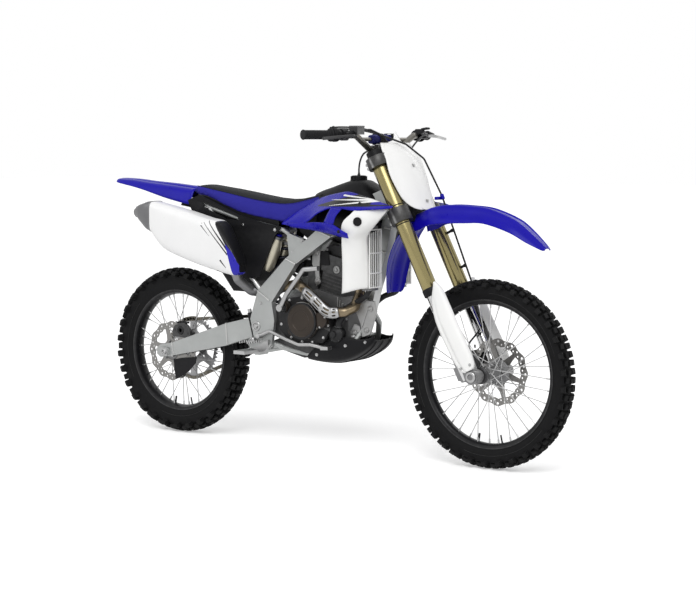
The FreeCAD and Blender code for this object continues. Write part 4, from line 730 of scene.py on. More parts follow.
def makeDisc(side):
    size = wheelSizes[side]
    axle, place = size["axle"], size["discSide"]
    bm = bmesh.new()
    addPlate(bm, discLoops(size["discRadius"]), disc["thickness"], axle + leftwards * (place * mm))
    finishPiece(side + "_wave_disc", bm, size["body"], "discSteel", (side + "_brake_disc",), bevel=0.4)
    bm = bmesh.new()
    flank = math.copysign(1, place)
    face = place + flank * disc["thickness"] / 2
    for turn in turnsOf(6, disc["armStart"] + math.pi / 6):
        addBolt(bm, onCircle(axle, turn, disc["boltRadius"], face), leftwards * flank, 4.6)
    back = place - flank * disc["thickness"] / 2
    addRing(bm, axle, leftwards, ((place - flank * 12, 26), (back, 48), (face, 36), (face, 24)), 48)
    finishPiece(side + "_disc_bolts", bm, size["body"], "hubAlloy")
    bm = bmesh.new()  # spacer and seal between hub and foot
    wide = size["spacerRadius"]
    addTurned(bm, axle + leftwards * (size["spacerSide"] * mm), rightwards,
              ((-2, wide), (9, wide), (11, wide - 3), (15, wide - 3), (16, wide - 8), (19, wide - 8), (19, 12)), 40)
    finishPiece(side + "_wheel_spacer", bm, size["body"], "darkSteel", bevel=0.5)


for side in ("front", "rear"):
    makeTyre(side)
    makeWheel(side)
    makeDisc(side)

sprocket = {"teeth": 49, "radius": 124.0, "thickness": 5, "hole": 36, "boltRadius": 47,
            "tooth": ((0.0, 5.0), (0.14, 4.2), (0.3, -3.2), (0.5, -5.0), (0.7, -3.2), (0.86, 4.2)),
            "window": ((0.88, -0.37), (0.9, 0.0), (0.88, 0.37), (0.6, 0.28), (0.55, 0.0), (0.6, -0.28))}
chain = {"line": 71, "front": (560, 478), "frontRadius": 33.0, "pitch": 15.875, "plateHalf": 6.6, "plate": 1.5,
         "inner": 3.4, "outer": 5.2}


def makeSprocket():
    bm = bmesh.new()
    radius = sprocket["radius"]
    loops = [[polar(radius + reach, 2 * math.pi * (k + share) / sprocket["teeth"])
              for k in range(sprocket["teeth"]) for share, reach in sprocket["tooth"]], circle(sprocket["hole"], 36)]
    for turn in turnsOf(6):
        loops.append([polar(radius * share, turn + aside) for share, aside in sprocket["window"]])
        loops.append(circle(5, 12, *polar(62, turn + 0.52)))
    addPlate(bm, loops, sprocket["thickness"], onCircle(rearAxle, 0, 0, chain["line"]))
    for turn in turnsOf(6, math.pi / 6):
        addBolt(bm, onCircle(rearAxle, turn, sprocket["boltRadius"], chain["line"] + sprocket["thickness"] / 2),
                leftwards, 5.5)
    finishPiece("drive_sprocket", bm, "rear_wheel", "sprocketAlloy", ("rear_sprocket",), bevel=0.5)


def chainSpots():  # pins along the belt round both sprockets
    x, z = chain["front"]
    front, rear = at(x, chain["line"], z), onCircle(rearAxle, 0, 0, chain["line"])
    small, big = chain["frontRadius"], sprocket["radius"]
    gap = front - rear
    spread = math.asin((big - small) / (gap.length / mm))
    run = gap.length / mm * math.cos(spread)
    wrap = small * (math.pi - 2 * spread)
    total = run * 2 + big * (math.pi + 2 * spread) + wrap
    above = math.atan2(gap.z, gap.x) + math.pi / 2 + spread
    below = math.atan2(gap.z, gap.x) - math.pi / 2 - spread
    links = 2 * round(total / chain["pitch"] / 2)
    spots = []
    for s in (total * k / links for k in range(links)):
        if s < run:
            spots.append(onCircle(rear, above, big).lerp(onCircle(front, above, small), s / run))
        elif s < run + wrap:
            spots.append(onCircle(front, above - (s - run) / small, small))
        elif s < run * 2 + wrap:
            spots.append(onCircle(front, below, small).lerp(onCircle(rear, below, big), (s - run - wrap) / run))
        else:
            spots.append(onCircle(rear, below - (s - run * 2 - wrap) / big, big))
    return spots


def makeChain():  # links and rollers
    bm = bmesh.new()
    spots = chainSpots()
    reach = chain["plateHalf"] * mm
    for k, (spot, after) in enumerate(zip(spots, spots[1:] + spots[:1])):
        ahead = (after - spot).normalized()
        above = leftwards.cross(ahead)
        for flank in (-1, 1):
            offset = leftwards * (flank * (chain["outer"] if k % 2 else chain["inner"]) * mm)
            outline = [end + offset + ahead * (sign * reach * math.sin(math.pi * step / 4))
                       - above * (sign * reach * math.cos(math.pi * step / 4))
                       for end, sign in ((spot, -1), (after, 1)) for step in range(5)]
            addPrism(bm, outline, leftwards * (flank * chain["plate"] * mm))
        for half, radius, sides in ((7.2, 2.6, 8), (3.3, 5.0, 10)):
            addTube(bm, [spot - leftwards * (half * mm), spot + leftwards * (half * mm)], radius, sides)
    finishPiece("drive_chain", bm, "root", "chainSteel", ("chain",))


makeSprocket()
makeChain()
print("wheels and chain made")


# bodywork; rows in mm, y away from the middle on the right side

def skinRows(rows):
    return [[at(x, -y, z) for x, z, y in row] for row in rows]


def fenderRows(rows, shares):  # from one edge over the top to the other
    for x, ridge, edge, half in rows:
        points = [(half * a, ridge + (edge - ridge) * d) for a, d in shares]
        yield [at(x, y, z) for y, z in reversed(points)] + [at(x, -y, z) for y, z in points[1:]]


frontFender = {
    "rows": (  # (x, ridge, edge, half width)
        (1160, 914, 850, 58), (1200, 930, 862, 62), (1242, 944, 880, 66), (1308, 953, 888, 71), (1400, 951, 892, 73),
        (1481, 942, 892, 72), (1582, 906, 863, 67), (1640, 866, 832, 57), (1680, 832, 812, 44), (1698, 814, 802, 30),
        (1702, 809, 801, 20)),
    "shares": (  # (share of the half width, share of the way down to the edge)
        (0, 0.0), (0.2, 0.06), (0.3, -0.04), (0.42, 0.02), (0.5, 0.16), (0.8, 0.5), (0.97, 0.86), (1.0, 1.0)),
    "flap": (  # (z, middle x, side x, half width)
        (890, 1158, 1166, 54), (858, 1127, 1137, 68), (826, 1097, 1111, 76), (757, 1061, 1079, 76),
        (700, 1045, 1065, 70), (655, 1039, 1059, 62), (630, 1037, 1055, 54), (622, 1037, 1052, 42)),
    "ridge": 5,
}


def makeFrontFender():
    bm = bmesh.new()
    addRows(bm, denseRows(list(fenderRows(frontFender["rows"], frontFender["shares"])), 2, 4))
    finishPiece("front_fender_shell", bm, "steering", "bluePlastic", ("front_fender",), thickness=3.0)
    bm = bmesh.new()  # mud flap behind the front wheel
    flap = [[at(middle + (side - middle) * share * share + (frontFender["ridge"] if abs(share) == 0.5 else 0),
                half * share, z) for share in (-1, -0.94, -0.78, -0.5, 0, 0.5, 0.78, 0.94, 1)]
            for z, middle, side, half in frontFender["flap"]]
    addRows(bm, denseRows(flap, 3, 3))
    finishPiece("front_mud_flap", bm, "steering", "bluePlastic", thickness=2.5)


rearFender = {
    "rows": (
        (-327, 1032, 1024, 30), (-317, 1034, 1021, 44), (-296, 1035, 1016, 54), (-220, 1032, 1004, 63),
        (-146, 1025, 990, 71), (-30, 1017, 962, 80), (60, 1009, 944, 85), (122, 1004, 934, 87)),
    "shares": (
        (0, 0.0), (0.25, 0.02), (0.36, 0.16), (0.46, 0.1), (0.62, 0.14), (0.78, 0.3), (0.9, 0.66), (1.0, 1.0)),
    "inner": ((60, 985, 930, 70), (119, 950, 918, 66), (180, 926, 887, 63), (250, 900, 862, 62), (330, 868, 842, 58)),
}


def makeRearFender():
    bm = bmesh.new()
    addRows(bm, denseRows(list(fenderRows(rearFender["rows"], rearFender["shares"])), 2, 4))
    inner = [[at(x, half * share, z + (edge - z) * share * share) for share in (-1, -0.8, -0.4, 0, 0.4, 0.8, 1)]
             for x, z, edge, half in rearFender["inner"]]
    addRows(bm, denseRows(inner, 2, 3), mat=1)
    finishPiece("rear_fender_shell", bm, "root", "bluePlastic blackPlastic", ("rear_fender",), thickness=3.0)


# upper arm with its rear part, and the lower fork that leaves a hole behind the radiator panel
shroud = {
    "top": (
        ((600, 884, 88), (602, 880, 100), (606, 876, 112), (612, 872, 122)),
        ((660, 921, 82), (662, 906, 100), (664, 888, 118), (668, 867, 134)),
        ((735, 962, 70), (736, 938, 98), (738, 908, 126), (742, 880, 145)),
        ((802, 982, 84), (803, 962, 108), (805, 940, 134), (808, 918, 158)),
        ((870, 994, 98), (872, 976, 122), (876, 958, 148), (882, 940, 174)),
        ((917, 999, 108), (922, 983, 130), (930, 962, 156), (940, 938, 184)),
        ((985, 988, 124), (990, 974, 146), (998, 956, 172), (1008, 934, 199)),
        ((1054, 973, 140), (1056, 964, 156), (1062, 952, 176), (1068, 939, 198)),
        ((1120, 959, 162), (1121, 955, 172), (1122, 949, 184), (1124, 942, 195)),
        ((1165, 951, 180), (1166, 950, 184), (1166, 949, 188), (1167, 947, 191)),
    ),
    "low": (
        ((640, 876, 126), (650, 871, 133), (660, 865, 137), (664, 860, 134)),
        ((742, 880, 145), (746, 872, 150), (750, 864, 155), (754, 856, 152)),
        ((800, 884, 170), (806, 873, 172), (812, 862, 172), (816, 850, 164)),
        ((870, 885, 200), (876, 872, 204), (882, 858, 202), (886, 844, 192)),
        ((922, 880, 216), (926, 868, 222), (932, 854, 221), (938, 838, 210)),
        ((966, 864, 228), (970, 856, 232), (974, 846, 232), (978, 834, 224)),
        ((1000, 851, 233), (1002, 846, 235), (1003, 840, 235), (1004, 832, 233)),
    ),
    "bridge": (
        ((882, 940, 174), (872, 912, 186), (868, 886, 200)), ((910, 940, 180), (906, 914, 196), (912, 882, 214)),
        ((940, 938, 186), (926, 912, 204), (922, 880, 216))),
    "liner": (
        ((760, 950, 84), (770, 900, 110), (780, 868, 130)), ((860, 960, 96), (870, 905, 128), (880, 862, 150)),
        ((940, 950, 104), (950, 900, 138), (960, 858, 160))),
    "inner": ((636, 866), (660, 908), (740, 948), (800, 930), (800, 812), (735, 800), (690, 812), (652, 838)),
    "bolts": ((1010, 957, 168), (760, 918, 118), (960, 856, 231)),
}


def makeShrouds():
    bm = bmesh.new()
    for part, along in (("top", 5), ("low", 5), ("bridge", 4)):
        addRows(bm, denseRows(skinRows(shroud[part]), 4, along))
    mirrorAll(bm)
    finishPiece("tank_shrouds", bm, "root", "shroudPlastic", ("shrouds",), thickness=3.0)
    bm = bmesh.new()
    addRows(bm, denseRows(skinRows(shroud["liner"]), 3, 3))
    addSheet(bm, shroud["inner"], -56, 2)
    addBolts(bm, shroud["bolts"], (0.2, -1, 0.3), 5)
    mirrorAll(bm)
    finishPiece("shroud_liners", bm, "root", "blackPlastic", thickness=2.0)


radiator = {
    "panel": (  # front edge, front plane, side, rear edge, from the top down
        ((1138, 936, 176), (1100, 938, 184), (1056, 938, 194), (1010, 934, 198), (1004, 930, 196)),
        ((1104, 902, 172), (1080, 902, 186), (1040, 902, 200), (985, 900, 208), (966, 896, 208)),
        ((1074, 874, 166), (1054, 872, 184), (1020, 870, 204), (975, 868, 212), (957, 866, 212)),
        ((1044, 848, 156), (1030, 846, 178), (1004, 842, 203), (972, 838, 212), (958, 834, 210)),
        ((1030, 822, 146), (1018, 820, 172), (996, 816, 196), (972, 812, 207), (955, 808, 206)),
        ((1029, 740, 138), (1013, 738, 166), (990, 736, 188), (970, 734, 198), (951, 730, 196)),
        ((1029, 670, 136), (1010, 668, 162), (988, 664, 182), (968, 660, 191), (946, 656, 190)),
        ((1027, 644, 136), (1006, 642, 160), (986, 636, 178), (966, 630, 186), (941, 624, 186)),
    ),
    "bars": 7, "barStep": 11.5, "fins": 34, "finStep": 6, "tubes": 9, "tubeStep": 6.2, "louvreX": 1032, "coreX": 1006,
    "rails": ((699, 136), (773, 137), (646, 134), (860, 140)),
    "cap": ((0, 17), (5, 17), (7, 20), (13, 20), (14, 17)),
    "mark": ((-3, 16.5), (0.6, 16.5), (1, 15.6), (0.6, 13), (0.6, 2)),
}


def makeRadiators():
    bm = bmesh.new()
    addRows(bm, denseRows(skinRows(radiator["panel"]), 3, 3))
    mirrorAll(bm)
    finishPiece("radiator_side_panels", bm, "root", "whitePlastic", ("radiator_panels",), thickness=3.0)
    bm = bmesh.new()  # louvre bars, with rails across and posts at both ends
    x = radiator["louvreX"]
    for k in range(radiator["bars"]):
        y = -64 - radiator["barStep"] * k
        addTube(bm, [at(x, y, z) for z in (644, 750, 860 - k * 2)], 1.7, 6)
    for z, end in radiator["rails"]:
        addTube(bm, [at(x, -y, z) for y in (62, 100, end)], 2.6, 6)
    for y in (62, 137):
        addTube(bm, [at(x, -y, z) for z in (644, 750, 862)], 2.6, 6)
    mirrorAll(bm)
    finishPiece("radiator_louvres", bm, "root", "whitePlastic")
    bm = bmesh.new()  # cores with fins, tanks and cap
    x = radiator["coreX"]
    for k in range(radiator["fins"]):
        addBlock(bm, at(x, -94, 652 + radiator["finStep"] * k), (22, 56, 1.2), mat=1)
    for k in range(radiator["tubes"]):
        addBlock(bm, at(x, -69 - radiator["tubeStep"] * k, 753), (24, 2.2, 204), mat=1)
    for z in (642, 864):
        addBlock(bm, at(x, -94, z), (32, 62, 18), taper=0.9)
    for y in (63, 125):
        addBlock(bm, at(x, -y, 753), (30, 3, 214))
    mirrorAll(bm)
    addTurned(bm, at(x, 94, 872), upwards, radiator["cap"], 20)
    finishPiece("radiator_cores", bm, "root", "radiatorSilver radiatorCore", ("radiators",), bevel=0.8)
    bm = bmesh.new()  # round mark left bare on each panel
    for flank in (-1, 1):
        addTurned(bm, at(1026, flank * 206.5, 893), Vector((0.25, flank, 0.05)), radiator["mark"], 36)
    finishPiece("panel_discs", bm, "root", "blackPlastic")


plate = {
    "rows": (  # (height, middle x, side x, half width)
        (1180, 1076, 1052, 96), (1150, 1096, 1068, 106), (1125, 1113, 1088, 114), (1068, 1145, 1110, 120),
        (1015, 1171, 1134, 112), (970, 1190, 1158, 97), (944, 1203, 1185, 72), (936, 1207, 1200, 44)),
    "raised": 2.5,
    "flap": ((1062, 1150), (1046, 1182), (1030, 1206), (1020, 1221)),
    "flapEdge": ((-62, 0.3), (-40, 0.42), (-10, 0.5), (20, 0.62), (44, 0.95), (62, 1.0)),  # (y, share of the height)
    "bolts": ((1134, 1098, 0), (1196, 968, 0)),
}


def makePlate():
    bm = bmesh.new()
    rows = [[at(middle + (outer - middle) * share * share + (plate["raised"] if abs(share) < 0.62 else 0),
                half * share, z) for share in (-1, -0.92, -0.66, -0.6, -0.3, 0, 0.3, 0.6, 0.66, 0.92, 1)]
            for z, middle, outer, half in plate["rows"]]
    addRows(bm, denseRows(rows, 1, 4))
    finishPiece("number_board", bm, "steering", "whitePlastic", ("number_plate",), thickness=3.0)
    bm = bmesh.new()  # upright flap of the plate behind the bar's middle, lower on the right
    base = plate["flap"][0][1]
    rows = [[at(x - abs(y) * 0.12 + (1 - high) * (z - base) * 0.55, y, base + (z - base) * high)
             for y, high in plate["flapEdge"]] for x, z in plate["flap"]]
    addRows(bm, denseRows(rows, 2, 3))
    finishPiece("number_board_top", bm, "steering", "whitePlastic", thickness=2.5)
    makeBolts("plate_bolts", "steering", plate["bolts"], (1, 0, 0.5), 5)


sideCover = {
    "outline": (
        (116, 952), (178, 974), (280, 938), (381, 899), (500, 872), (586, 857), (572, 838), (558, 823), (520, 738),
        (484, 664), (446, 654), (404, 656), (350, 706), (300, 760), (220, 836), (150, 890)),
    "slot": ((196, 944), (376, 892), (384, 878), (318, 882), (204, 926)),
    "under": (
        (150, 977), (200, 970), (280, 941), (360, 914), (430, 900), (500, 891), (560, 882), (560, 838), (430, 850),
        (280, 890), (180, 930)),
    "hole": (7, 12, 402, 862), "thickness": 5, "side": -98, "bowMiddle": 350, "bowHalf": 260, "bow": 6,
    "bolts": ((402, 862, 96), (560, 846, 99)),
}


def makeSidePanels():
    bm = bmesh.new()
    loops = [sideCover["outline"], sideCover["slot"], circle(*sideCover["hole"])]
    addPlate(bm, loops, sideCover["thickness"], at(0, sideCover["side"], 0))
    for vert in bm.verts:  # a little rounder than a flat plate
        share = (vert.co.x - at(sideCover["bowMiddle"], 0, 0).x) / (sideCover["bowHalf"] * mm)
        vert.co.y += sideCover["bow"] * mm * share * share
    addSheet(bm, sideCover["under"], -74, 3)
    mirrorAll(bm)
    finishPiece("side_covers", bm, "root", "blackPlastic", ("side_panels",), bevel=1.8)
    makeBolts("side_cover_bolts", "root", sideCover["bolts"], rightwards, 5, both=True)


muffler = {  # rows of (x, top, low, half width, y)
    "body": (
        (25, 948, 826, 46, -178), (91, 935, 763, 52, -178), (200, 912, 725, 56, -177), (290, 890, 700, 56, -175),
        (362, 875, 684, 52, -176), (402, 832, 675, 44, -182), (438, 784, 671, 37, -187), (464, 740, 675, 29, -191),
        (476, 716, 684, 20, -194)),
    "cap": (
        (24.5, 949, 827, 47, -178), (0, 948, 834, 46, -178.5), (-20, 942, 850, 42, -179),
        (-46, 935, 870, 34, -179.5)),
    "nose": ((-46, 935, 870, 34, -179.5), (-66, 928, 886, 24, -180), (-74, 922, 896, 15, -180)),
    "band": ((25.5, 950, 825.5, 47.6, -178), (19, 950, 826, 47.6, -178)),
    "outlet": ((0, 20), (18, 20), (20, 19), (20, 15), (6, 14)),
    "bolts": ((430, 700, 217), (300, 868, 223), (112, 905, 221), (112, 800, 226), (46, 915, 218)),
    "slant": (0.74, 0, 0.67), "inletFrom": 364, "sides": 44,
}


def ovalLoft(bm, rows, power, caps):  # flattened rounds along the bike
    rings = [[at(x, y + squared(math.cos(a), power) * half,
                 (top + low) / 2 + squared(math.sin(a), power) * (top - low) / 2)
              for a in turnsOf(muffler["sides"])] for x, top, low, half, y in rows]
    addRows(bm, denseRows(rings, 1, 4), closed=True, caps=caps)


def makeMuffler():
    bm = bmesh.new()
    ovalLoft(bm, muffler["body"], 0.42, True)
    bm.normal_update()
    slant = Vector(muffler["slant"])
    for face in bm.faces:  # dark inlet cover on the slanted front
        if abs(face.normal.dot(slant)) > 0.62 and face.calc_center_median().x > at(muffler["inletFrom"], 0, 0).x:
            face.material_index = 1
    finishPiece("muffler_body", bm, "root", "mufflerWhite blackPlastic", ("muffler",))
    bm = bmesh.new()
    ovalLoft(bm, muffler["cap"], 0.5, False)
    ovalLoft(bm, muffler["nose"], 0.62, True)
    ovalLoft(bm, muffler["band"], 0.43, True)
    addTurned(bm, at(-60, -180, 904), Vector((-1, 0, -0.25)), muffler["outlet"], 28)
    finishPiece("muffler_end", bm, "root", "mufflerEnd", ("muffler_cap",), bevel=1.0)
    makeBolts("muffler_bolts", "root", muffler["bolts"], rightwards, 3.6)  # where it hangs, and round the rear band


skid = {
    "rows": (  # (x, top, low, half width)
        (708, 372, 351, 86), (760, 408, 346, 98), (836, 446, 348, 108), (900, 452, 363, 106), (950, 447, 388, 97),
        (985, 450, 416, 82), (1003, 460, 440, 64)),
    "section": ((-0.98, 1), (-1, 0.6), (-0.95, 0.22), (-0.8, 0.04), (-0.4, 0), (0, 0), (0.4, 0), (0.8, 0.04),
                (0.95, 0.22), (1, 0.6), (0.98, 1)),
    "ribs": (-46, 0, 46),
    "bolts": ((760, 376, 98), (900, 420, 106), (975, 436, 84)),
}


def makeSkidPlate():
    bm = bmesh.new()
    rows = [[at(x, half * a, low + (top - low) * h) for a, h in skid["section"]]
            for x, top, low, half in skid["rows"]]
    addRows(bm, denseRows(rows, 3, 4))
    for y in skid["ribs"]:
        addTube(bm, route([(x, y, low - 1) for x, top, low, half in skid["rows"]], 3), 3, 6)
    finishPiece("skid_pan", bm, "root", "blackPlastic", ("skid_plate",), thickness=3.0)


makeFrontFender()
makeRearFender()
makeShrouds()
makeRadiators()
makePlate()
makeSidePanels()
makeMuffler()
makeSkidPlate()
print("bodywork made")


# seat, bar pad and tank

seat = {
    "voxel": 6, "pressure": 4, "frames": 20, "cap": 6, "first": 125, "last": 879,
    "rows": (  # (x, top, low, half width)
        (124, 1009, 990, 64), (150, 1010, 976, 72), (200, 1003, 964, 79), (280, 994, 932, 84), (360, 983, 905, 87),
        (430, 972, 891, 89), (500, 962, 882, 90), (560, 958, 874, 91), (590, 958, 871, 91), (630, 960, 886, 88),
        (660, 964, 906, 84), (700, 972, 926, 78), (741, 982, 947, 70), (780, 993, 966, 64), (820, 1007, 985, 58),
        (856, 1020, 1001, 50), (880, 1029, 1014, 42)),
    "section": (  # (share of the half width, share of the height from the top)
        (0.0, 0.0), (0.4, 0.02), (0.62, 0.07), (0.74, 0.16), (0.84, 0.32), (0.92, 0.6), (0.96, 0.95), (0.8, 1.0)),
    "seams": (340, 545, 700), "sideColor": (0.022, 0.02, 0.24),
}
pad = {
    "voxel": 4, "pressure": 4, "frames": 16, "cap": 5, "halfDepth": 16.5, "halfHeight": 17.5,
    "rows": ((-1, 0.78), (-0.96, 0.92), (-0.86, 0.98), (0, 1), (0.86, 0.98), (0.96, 0.92), (1, 0.78)),
    "straps": (-0.42, 0.42), "strapHalf": 11,
}
tank = {
    "rows": (  # (x, top, low, half width)
        (701, 988, 905, 34), (735, 1000, 856, 58), (785, 1014, 816, 76), (836, 1030, 802, 84), (887, 1042, 801, 84),
        (932, 1038, 803, 82), (968, 1014, 816, 74), (992, 986, 838, 62), (1004, 960, 862, 48)),
    "capX": 887,
    "cap": ((0, 33.5), (3, 33.5), (4, 30), (17, 29), (20.5, 26.5), (21.5, 20), (20.8, 6), (20.8, 0.5)),
    "vent": ((887, 0, 1066), (888, -1, 1084), (893, -3, 1106), (903, -4, 1128), (916, -4, 1142), (934, -3, 1148),
             (956, -2, 1143), (972, 0, 1130)),
}


def evaluatedMesh(holder):
    bpy.context.view_layer.update()
    return bpy.data.meshes.new_from_object(holder.evaluated_get(bpy.context.evaluated_depsgraph_get()))


def swell(holder, soft, pinned):  # a short cloth run under pressure, each point's move held to the cap
    fine = holder.data
    start = [vert.co.copy() for vert in fine.vertices]
    held = holder.vertex_groups.new(name="held")
    held.add([i for i, co in enumerate(start) if pinned(co)], 1.0, "REPLACE")
    cloth = holder.modifiers.new("cloth", "CLOTH")
    cloth.settings.use_pressure = True
    cloth.settings.uniform_pressure_force = soft["pressure"]
    cloth.settings.vertex_group_mass = "held"
    cloth.settings.effector_weights.gravity = 0
    cloth.settings.quality = 5
    cloth.point_cache.frame_start = 1
    cloth.point_cache.frame_end = soft["frames"]
    for frameNumber in range(1, soft["frames"] + 1):
        bpy.context.scene.frame_set(frameNumber)
    swollen = evaluatedMesh(holder)
    for vert, before, after in zip(fine.vertices, start, swollen.vertices):
        move = after.co - before
        if move.length > soft["cap"] * mm:
            move = move.normalized() * (soft["cap"] * mm)
        vert.co = before + move
    holder.modifiers.clear()
    bpy.data.meshes.remove(swollen)
    bpy.context.scene.frame_set(1)


def puff(bm, soft, pinned):  # fine skin over the form, then swollen; pinned(co) holds a point
    mesh = bpy.data.meshes.new("padForm")
    bmesh.ops.recalc_face_normals(bm, faces=bm.faces)
    bm.to_mesh(mesh)
    bm.free()
    holder = addObject("padForm", mesh)
    skin = holder.modifiers.new("skin", "REMESH")
    skin.mode = "VOXEL"
    skin.voxel_size = soft["voxel"] * mm
    fine = evaluatedMesh(holder)
    holder.modifiers.clear()
    holder.data = fine
    bpy.data.meshes.remove(mesh)
    swell(holder, soft, pinned)
    grown = bmesh.new()
    grown.from_mesh(fine)
    bpy.data.objects.remove(holder)
    bpy.data.meshes.remove(fine)
    for face in grown.faces:
        face.smooth = True
    return grown


def seatSpot(x, share):  # a point of the seat's form, share from -7 to 7 round the section
    for low, high in zip(seat["rows"], seat["rows"][1:]):
        if low[0] <= x <= high[0]:
            t = (x - low[0]) / (high[0] - low[0])
            top, base, half = (low[i] + (high[i] - low[i]) * t for i in (1, 2, 3))
    a, d = seat["section"][abs(share)]
    return at(x, half * math.copysign(a, share), top - (top - base) * d)


def seatX(co):  # a point's place along the seat, in mm
    return min(max((co.x - rearAxle.x) / mm, seat["first"]), seat["last"])


def markSeatSide(piece):  # blue below the seam, black above it
    side = piece.data.attributes.new("side", "FLOAT", "POINT")
    for i, vert in enumerate(piece.data.vertices):
        x = seatX(vert.co)
        line = seatSpot(x, 3).z + 0.002 - max(0, x - 700) * 0.00002
        side.data[i].value = 0.5 + (line - vert.co.z) / 0.01
    tree = skins["seatTop"].node_tree
    base = tree.nodes["Principled BSDF"].inputs["Base Color"]
    below = tree.nodes.new("ShaderNodeAttribute")
    below.attribute_name = "side"
    mask = addMath(tree, "GREATER_THAN", below.outputs["Fac"], 0.5)
    tree.links.new(addMix(tree, mask, base.links[0].from_socket, seat["sideColor"]), base)


def makeSeat():
    bm = bmesh.new()
    addRows(bm, [[seatSpot(row[0], k) for k in range(-7, 8)] for row in seat["rows"]], closed=True, caps=True)
    bm = puff(bm, seat, lambda co: abs(co.y) < 0.05 and co.z < seatSpot(seatX(co), 7).z + 0.012)
    piece = finishPiece("seat_cover", bm, "root", "seatTop", ("seat",), subdivide=1)
    markSeatSide(piece)
    bm = bmesh.new()  # seams along the top and across it
    for flank in (-1, 1):
        line = [seatSpot(x, 3 * flank) + Vector((0, flank * 0.0022, 0.0035)) for x in range(130, 876, 20)]
        addTube(bm, line, 1.3, 6)
    for x in seat["seams"]:
        line = [seatSpot(x, k) + Vector((0, 0, 0.0042 if abs(k) < 2 else 0.003)) for k in range(-3, 4)]
        addTube(bm, smoothLine(line, 3), 1.1, 6)
    finishPiece("seat_seams", bm, "root", "blackRubber")


def makeBarPad():
    low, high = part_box("bar_pad")
    middle, half = (low + high) / 2, (high.y - low.y) / 2

    def ring(count, depth, height, share):
        return [middle + Vector((squared(math.cos(a), 0.5) * depth * mm, half * share,
                                 squared(math.sin(a), 0.5) * height * mm)) for a in turnsOf(count)]

    bm = bmesh.new()
    rows = [ring(20, pad["halfDepth"] * size, pad["halfHeight"] * size, 0.985 * share) for share, size in pad["rows"]]
    addRows(bm, rows, closed=True, caps=True)
    bm = puff(bm, pad, lambda co: abs(co.y - middle.y) > half * 0.97)
    piece = finishPiece("bar_pad_cover", bm, "steering", "padCover", ("bar_pad",), subdivide=1)
    bm = bmesh.new()
    for share in pad["straps"]:
        loop = ring(24, 21.5, 22.2, share)
        addRows(bm, [[p + leftwards * (side * pad["strapHalf"] * mm) for p in loop] for side in (-1, 1)], closed=True)
    finishPiece("bar_pad_straps", bm, "steering", "blackRubber", thickness=1.2)


def makeTank():
    bm = bmesh.new()  # the upper half is rounder than the lower one
    rows = []
    for x, top, low, half in tank["rows"]:
        ring = []
        for a in turnsOf(32):
            wide, tall = (0.62, 0.9) if math.sin(a) > 0 else (0.45, 0.5)
            ring.append(at(x, half * squared(math.cos(a), wide),
                           (top + low) / 2 + squared(math.sin(a), tall) * (top - low) / 2))
        rows.append(ring)
    addRows(bm, denseRows(rows, 1, 4), closed=True, caps=True)
    finishPiece("tank_shell", bm, "root", "blackPlastic", ("fuel_tank",))
    bm = bmesh.new()  # cap with its grip ribs, collar and vent
    x = tank["capX"]
    addTurned(bm, at(x, 0, 1036), upwards, tank["cap"], 48)
    for a in turnsOf(16):
        out = Vector((math.cos(a), math.sin(a), 0))
        addBlock(bm, at(x, 0, 1047) + out * 0.0295, (5, 5, 15), (out, Vector((-out.y, out.x, 0)), upwards), 0.85)
    addTurned(bm, at(x, 0, 1057), upwards, ((-3, 6), (4, 6), (5, 4), (11, 4)), 16)
    finishPiece("tank_cap", bm, "root", "blackPlastic", bevel=0.6)
    bm = bmesh.new()  # vent hose held by the cap and the stem nut
    addTube(bm, route(tank["vent"], 5), 3.4, 10)
    finishPiece("vent_hose", bm, "root", "hoseBlack")


makeSeat()
makeBarPad()
makeTank()
print("seat, pad and tank made")


# chassis and engine

welds = {
    "beam": (  # (x, z, y) down the right side, in mm
        ((620, 737, 109.2), (668, 719, 109.2)), ((482, 609, 110.6), (541, 573, 110.4)),
        ((775, 846, 103.8), (829, 829, 103.8)), ((1018, 866, 22.4), (1052, 858, 22.4)),
        ((990, 780, 22.4), (1028, 772, 22.4))),
    "arm": (((32, 377, 102), (40, 329, 103)), ((316, 472, 102), (324, 388, 103))),
    "scale": 2.2,
    "bolts": ((545, 398, 118, 9), (918, 452, 80, 7), (500, 560, 113, 5), (688, 808, 92.6, 6), (640, 760, 92.6, 5)),
    "pivot": ((-4, 21), (2, 21), (3.5, 19), (3.5, 13), (1, 11), (1, 0.5)),
}


def makeBeads(name, beads, radius):  # weld beads, rows of overlapping scales
    bm = bmesh.new()
    for bead in beads:
        start, end = (at(x, -y - 0.4, z) for x, z, y in bead)
        steps = max(2, int((end - start).length / (welds["scale"] * mm)))
        radii = [radius * (0.78 + 0.3 * abs(math.sin(k * 1.1))) for k in range(steps + 1)]
        addTube(bm, [start.lerp(end, k / steps) for k in range(steps + 1)], radii, 8)
    mirrorAll(bm)
    finishPiece(name, bm, "root", "weldBead")


def makeFrameParts():
    makeBeads("frame_welds", welds["beam"], 3.4)
    bm = bmesh.new()
    for x, z, y, radius in welds["bolts"]:
        addBolt(bm, at(x, -y, z), rightwards, radius)
    pivot = at(480, -117.5, 470)
    addTurned(bm, pivot, rightwards, welds["pivot"], 32)
    addTurned(bm, pivot, rightwards, ((1, 9), (5, 9), (6, 7.5)), 6)
    mirrorAll(bm)
    finishPiece("frame_bolts", bm, "root", "brightSteel", bevel=0.5)


swingarm = {
    "axleHeight": 338,
    "nut": ((0, 13.5), (8, 13.5), (9.5, 12), (9.5, 8), (4, 7), (4, 0.5)),
    "guides": (((505, 506), (420, 503), (330, 481), (330, 474), (420, 493), (500, 494)),
               ((150, 372), (250, 396), (262, 372), (240, 330), (176, 318), (150, 340))),
}


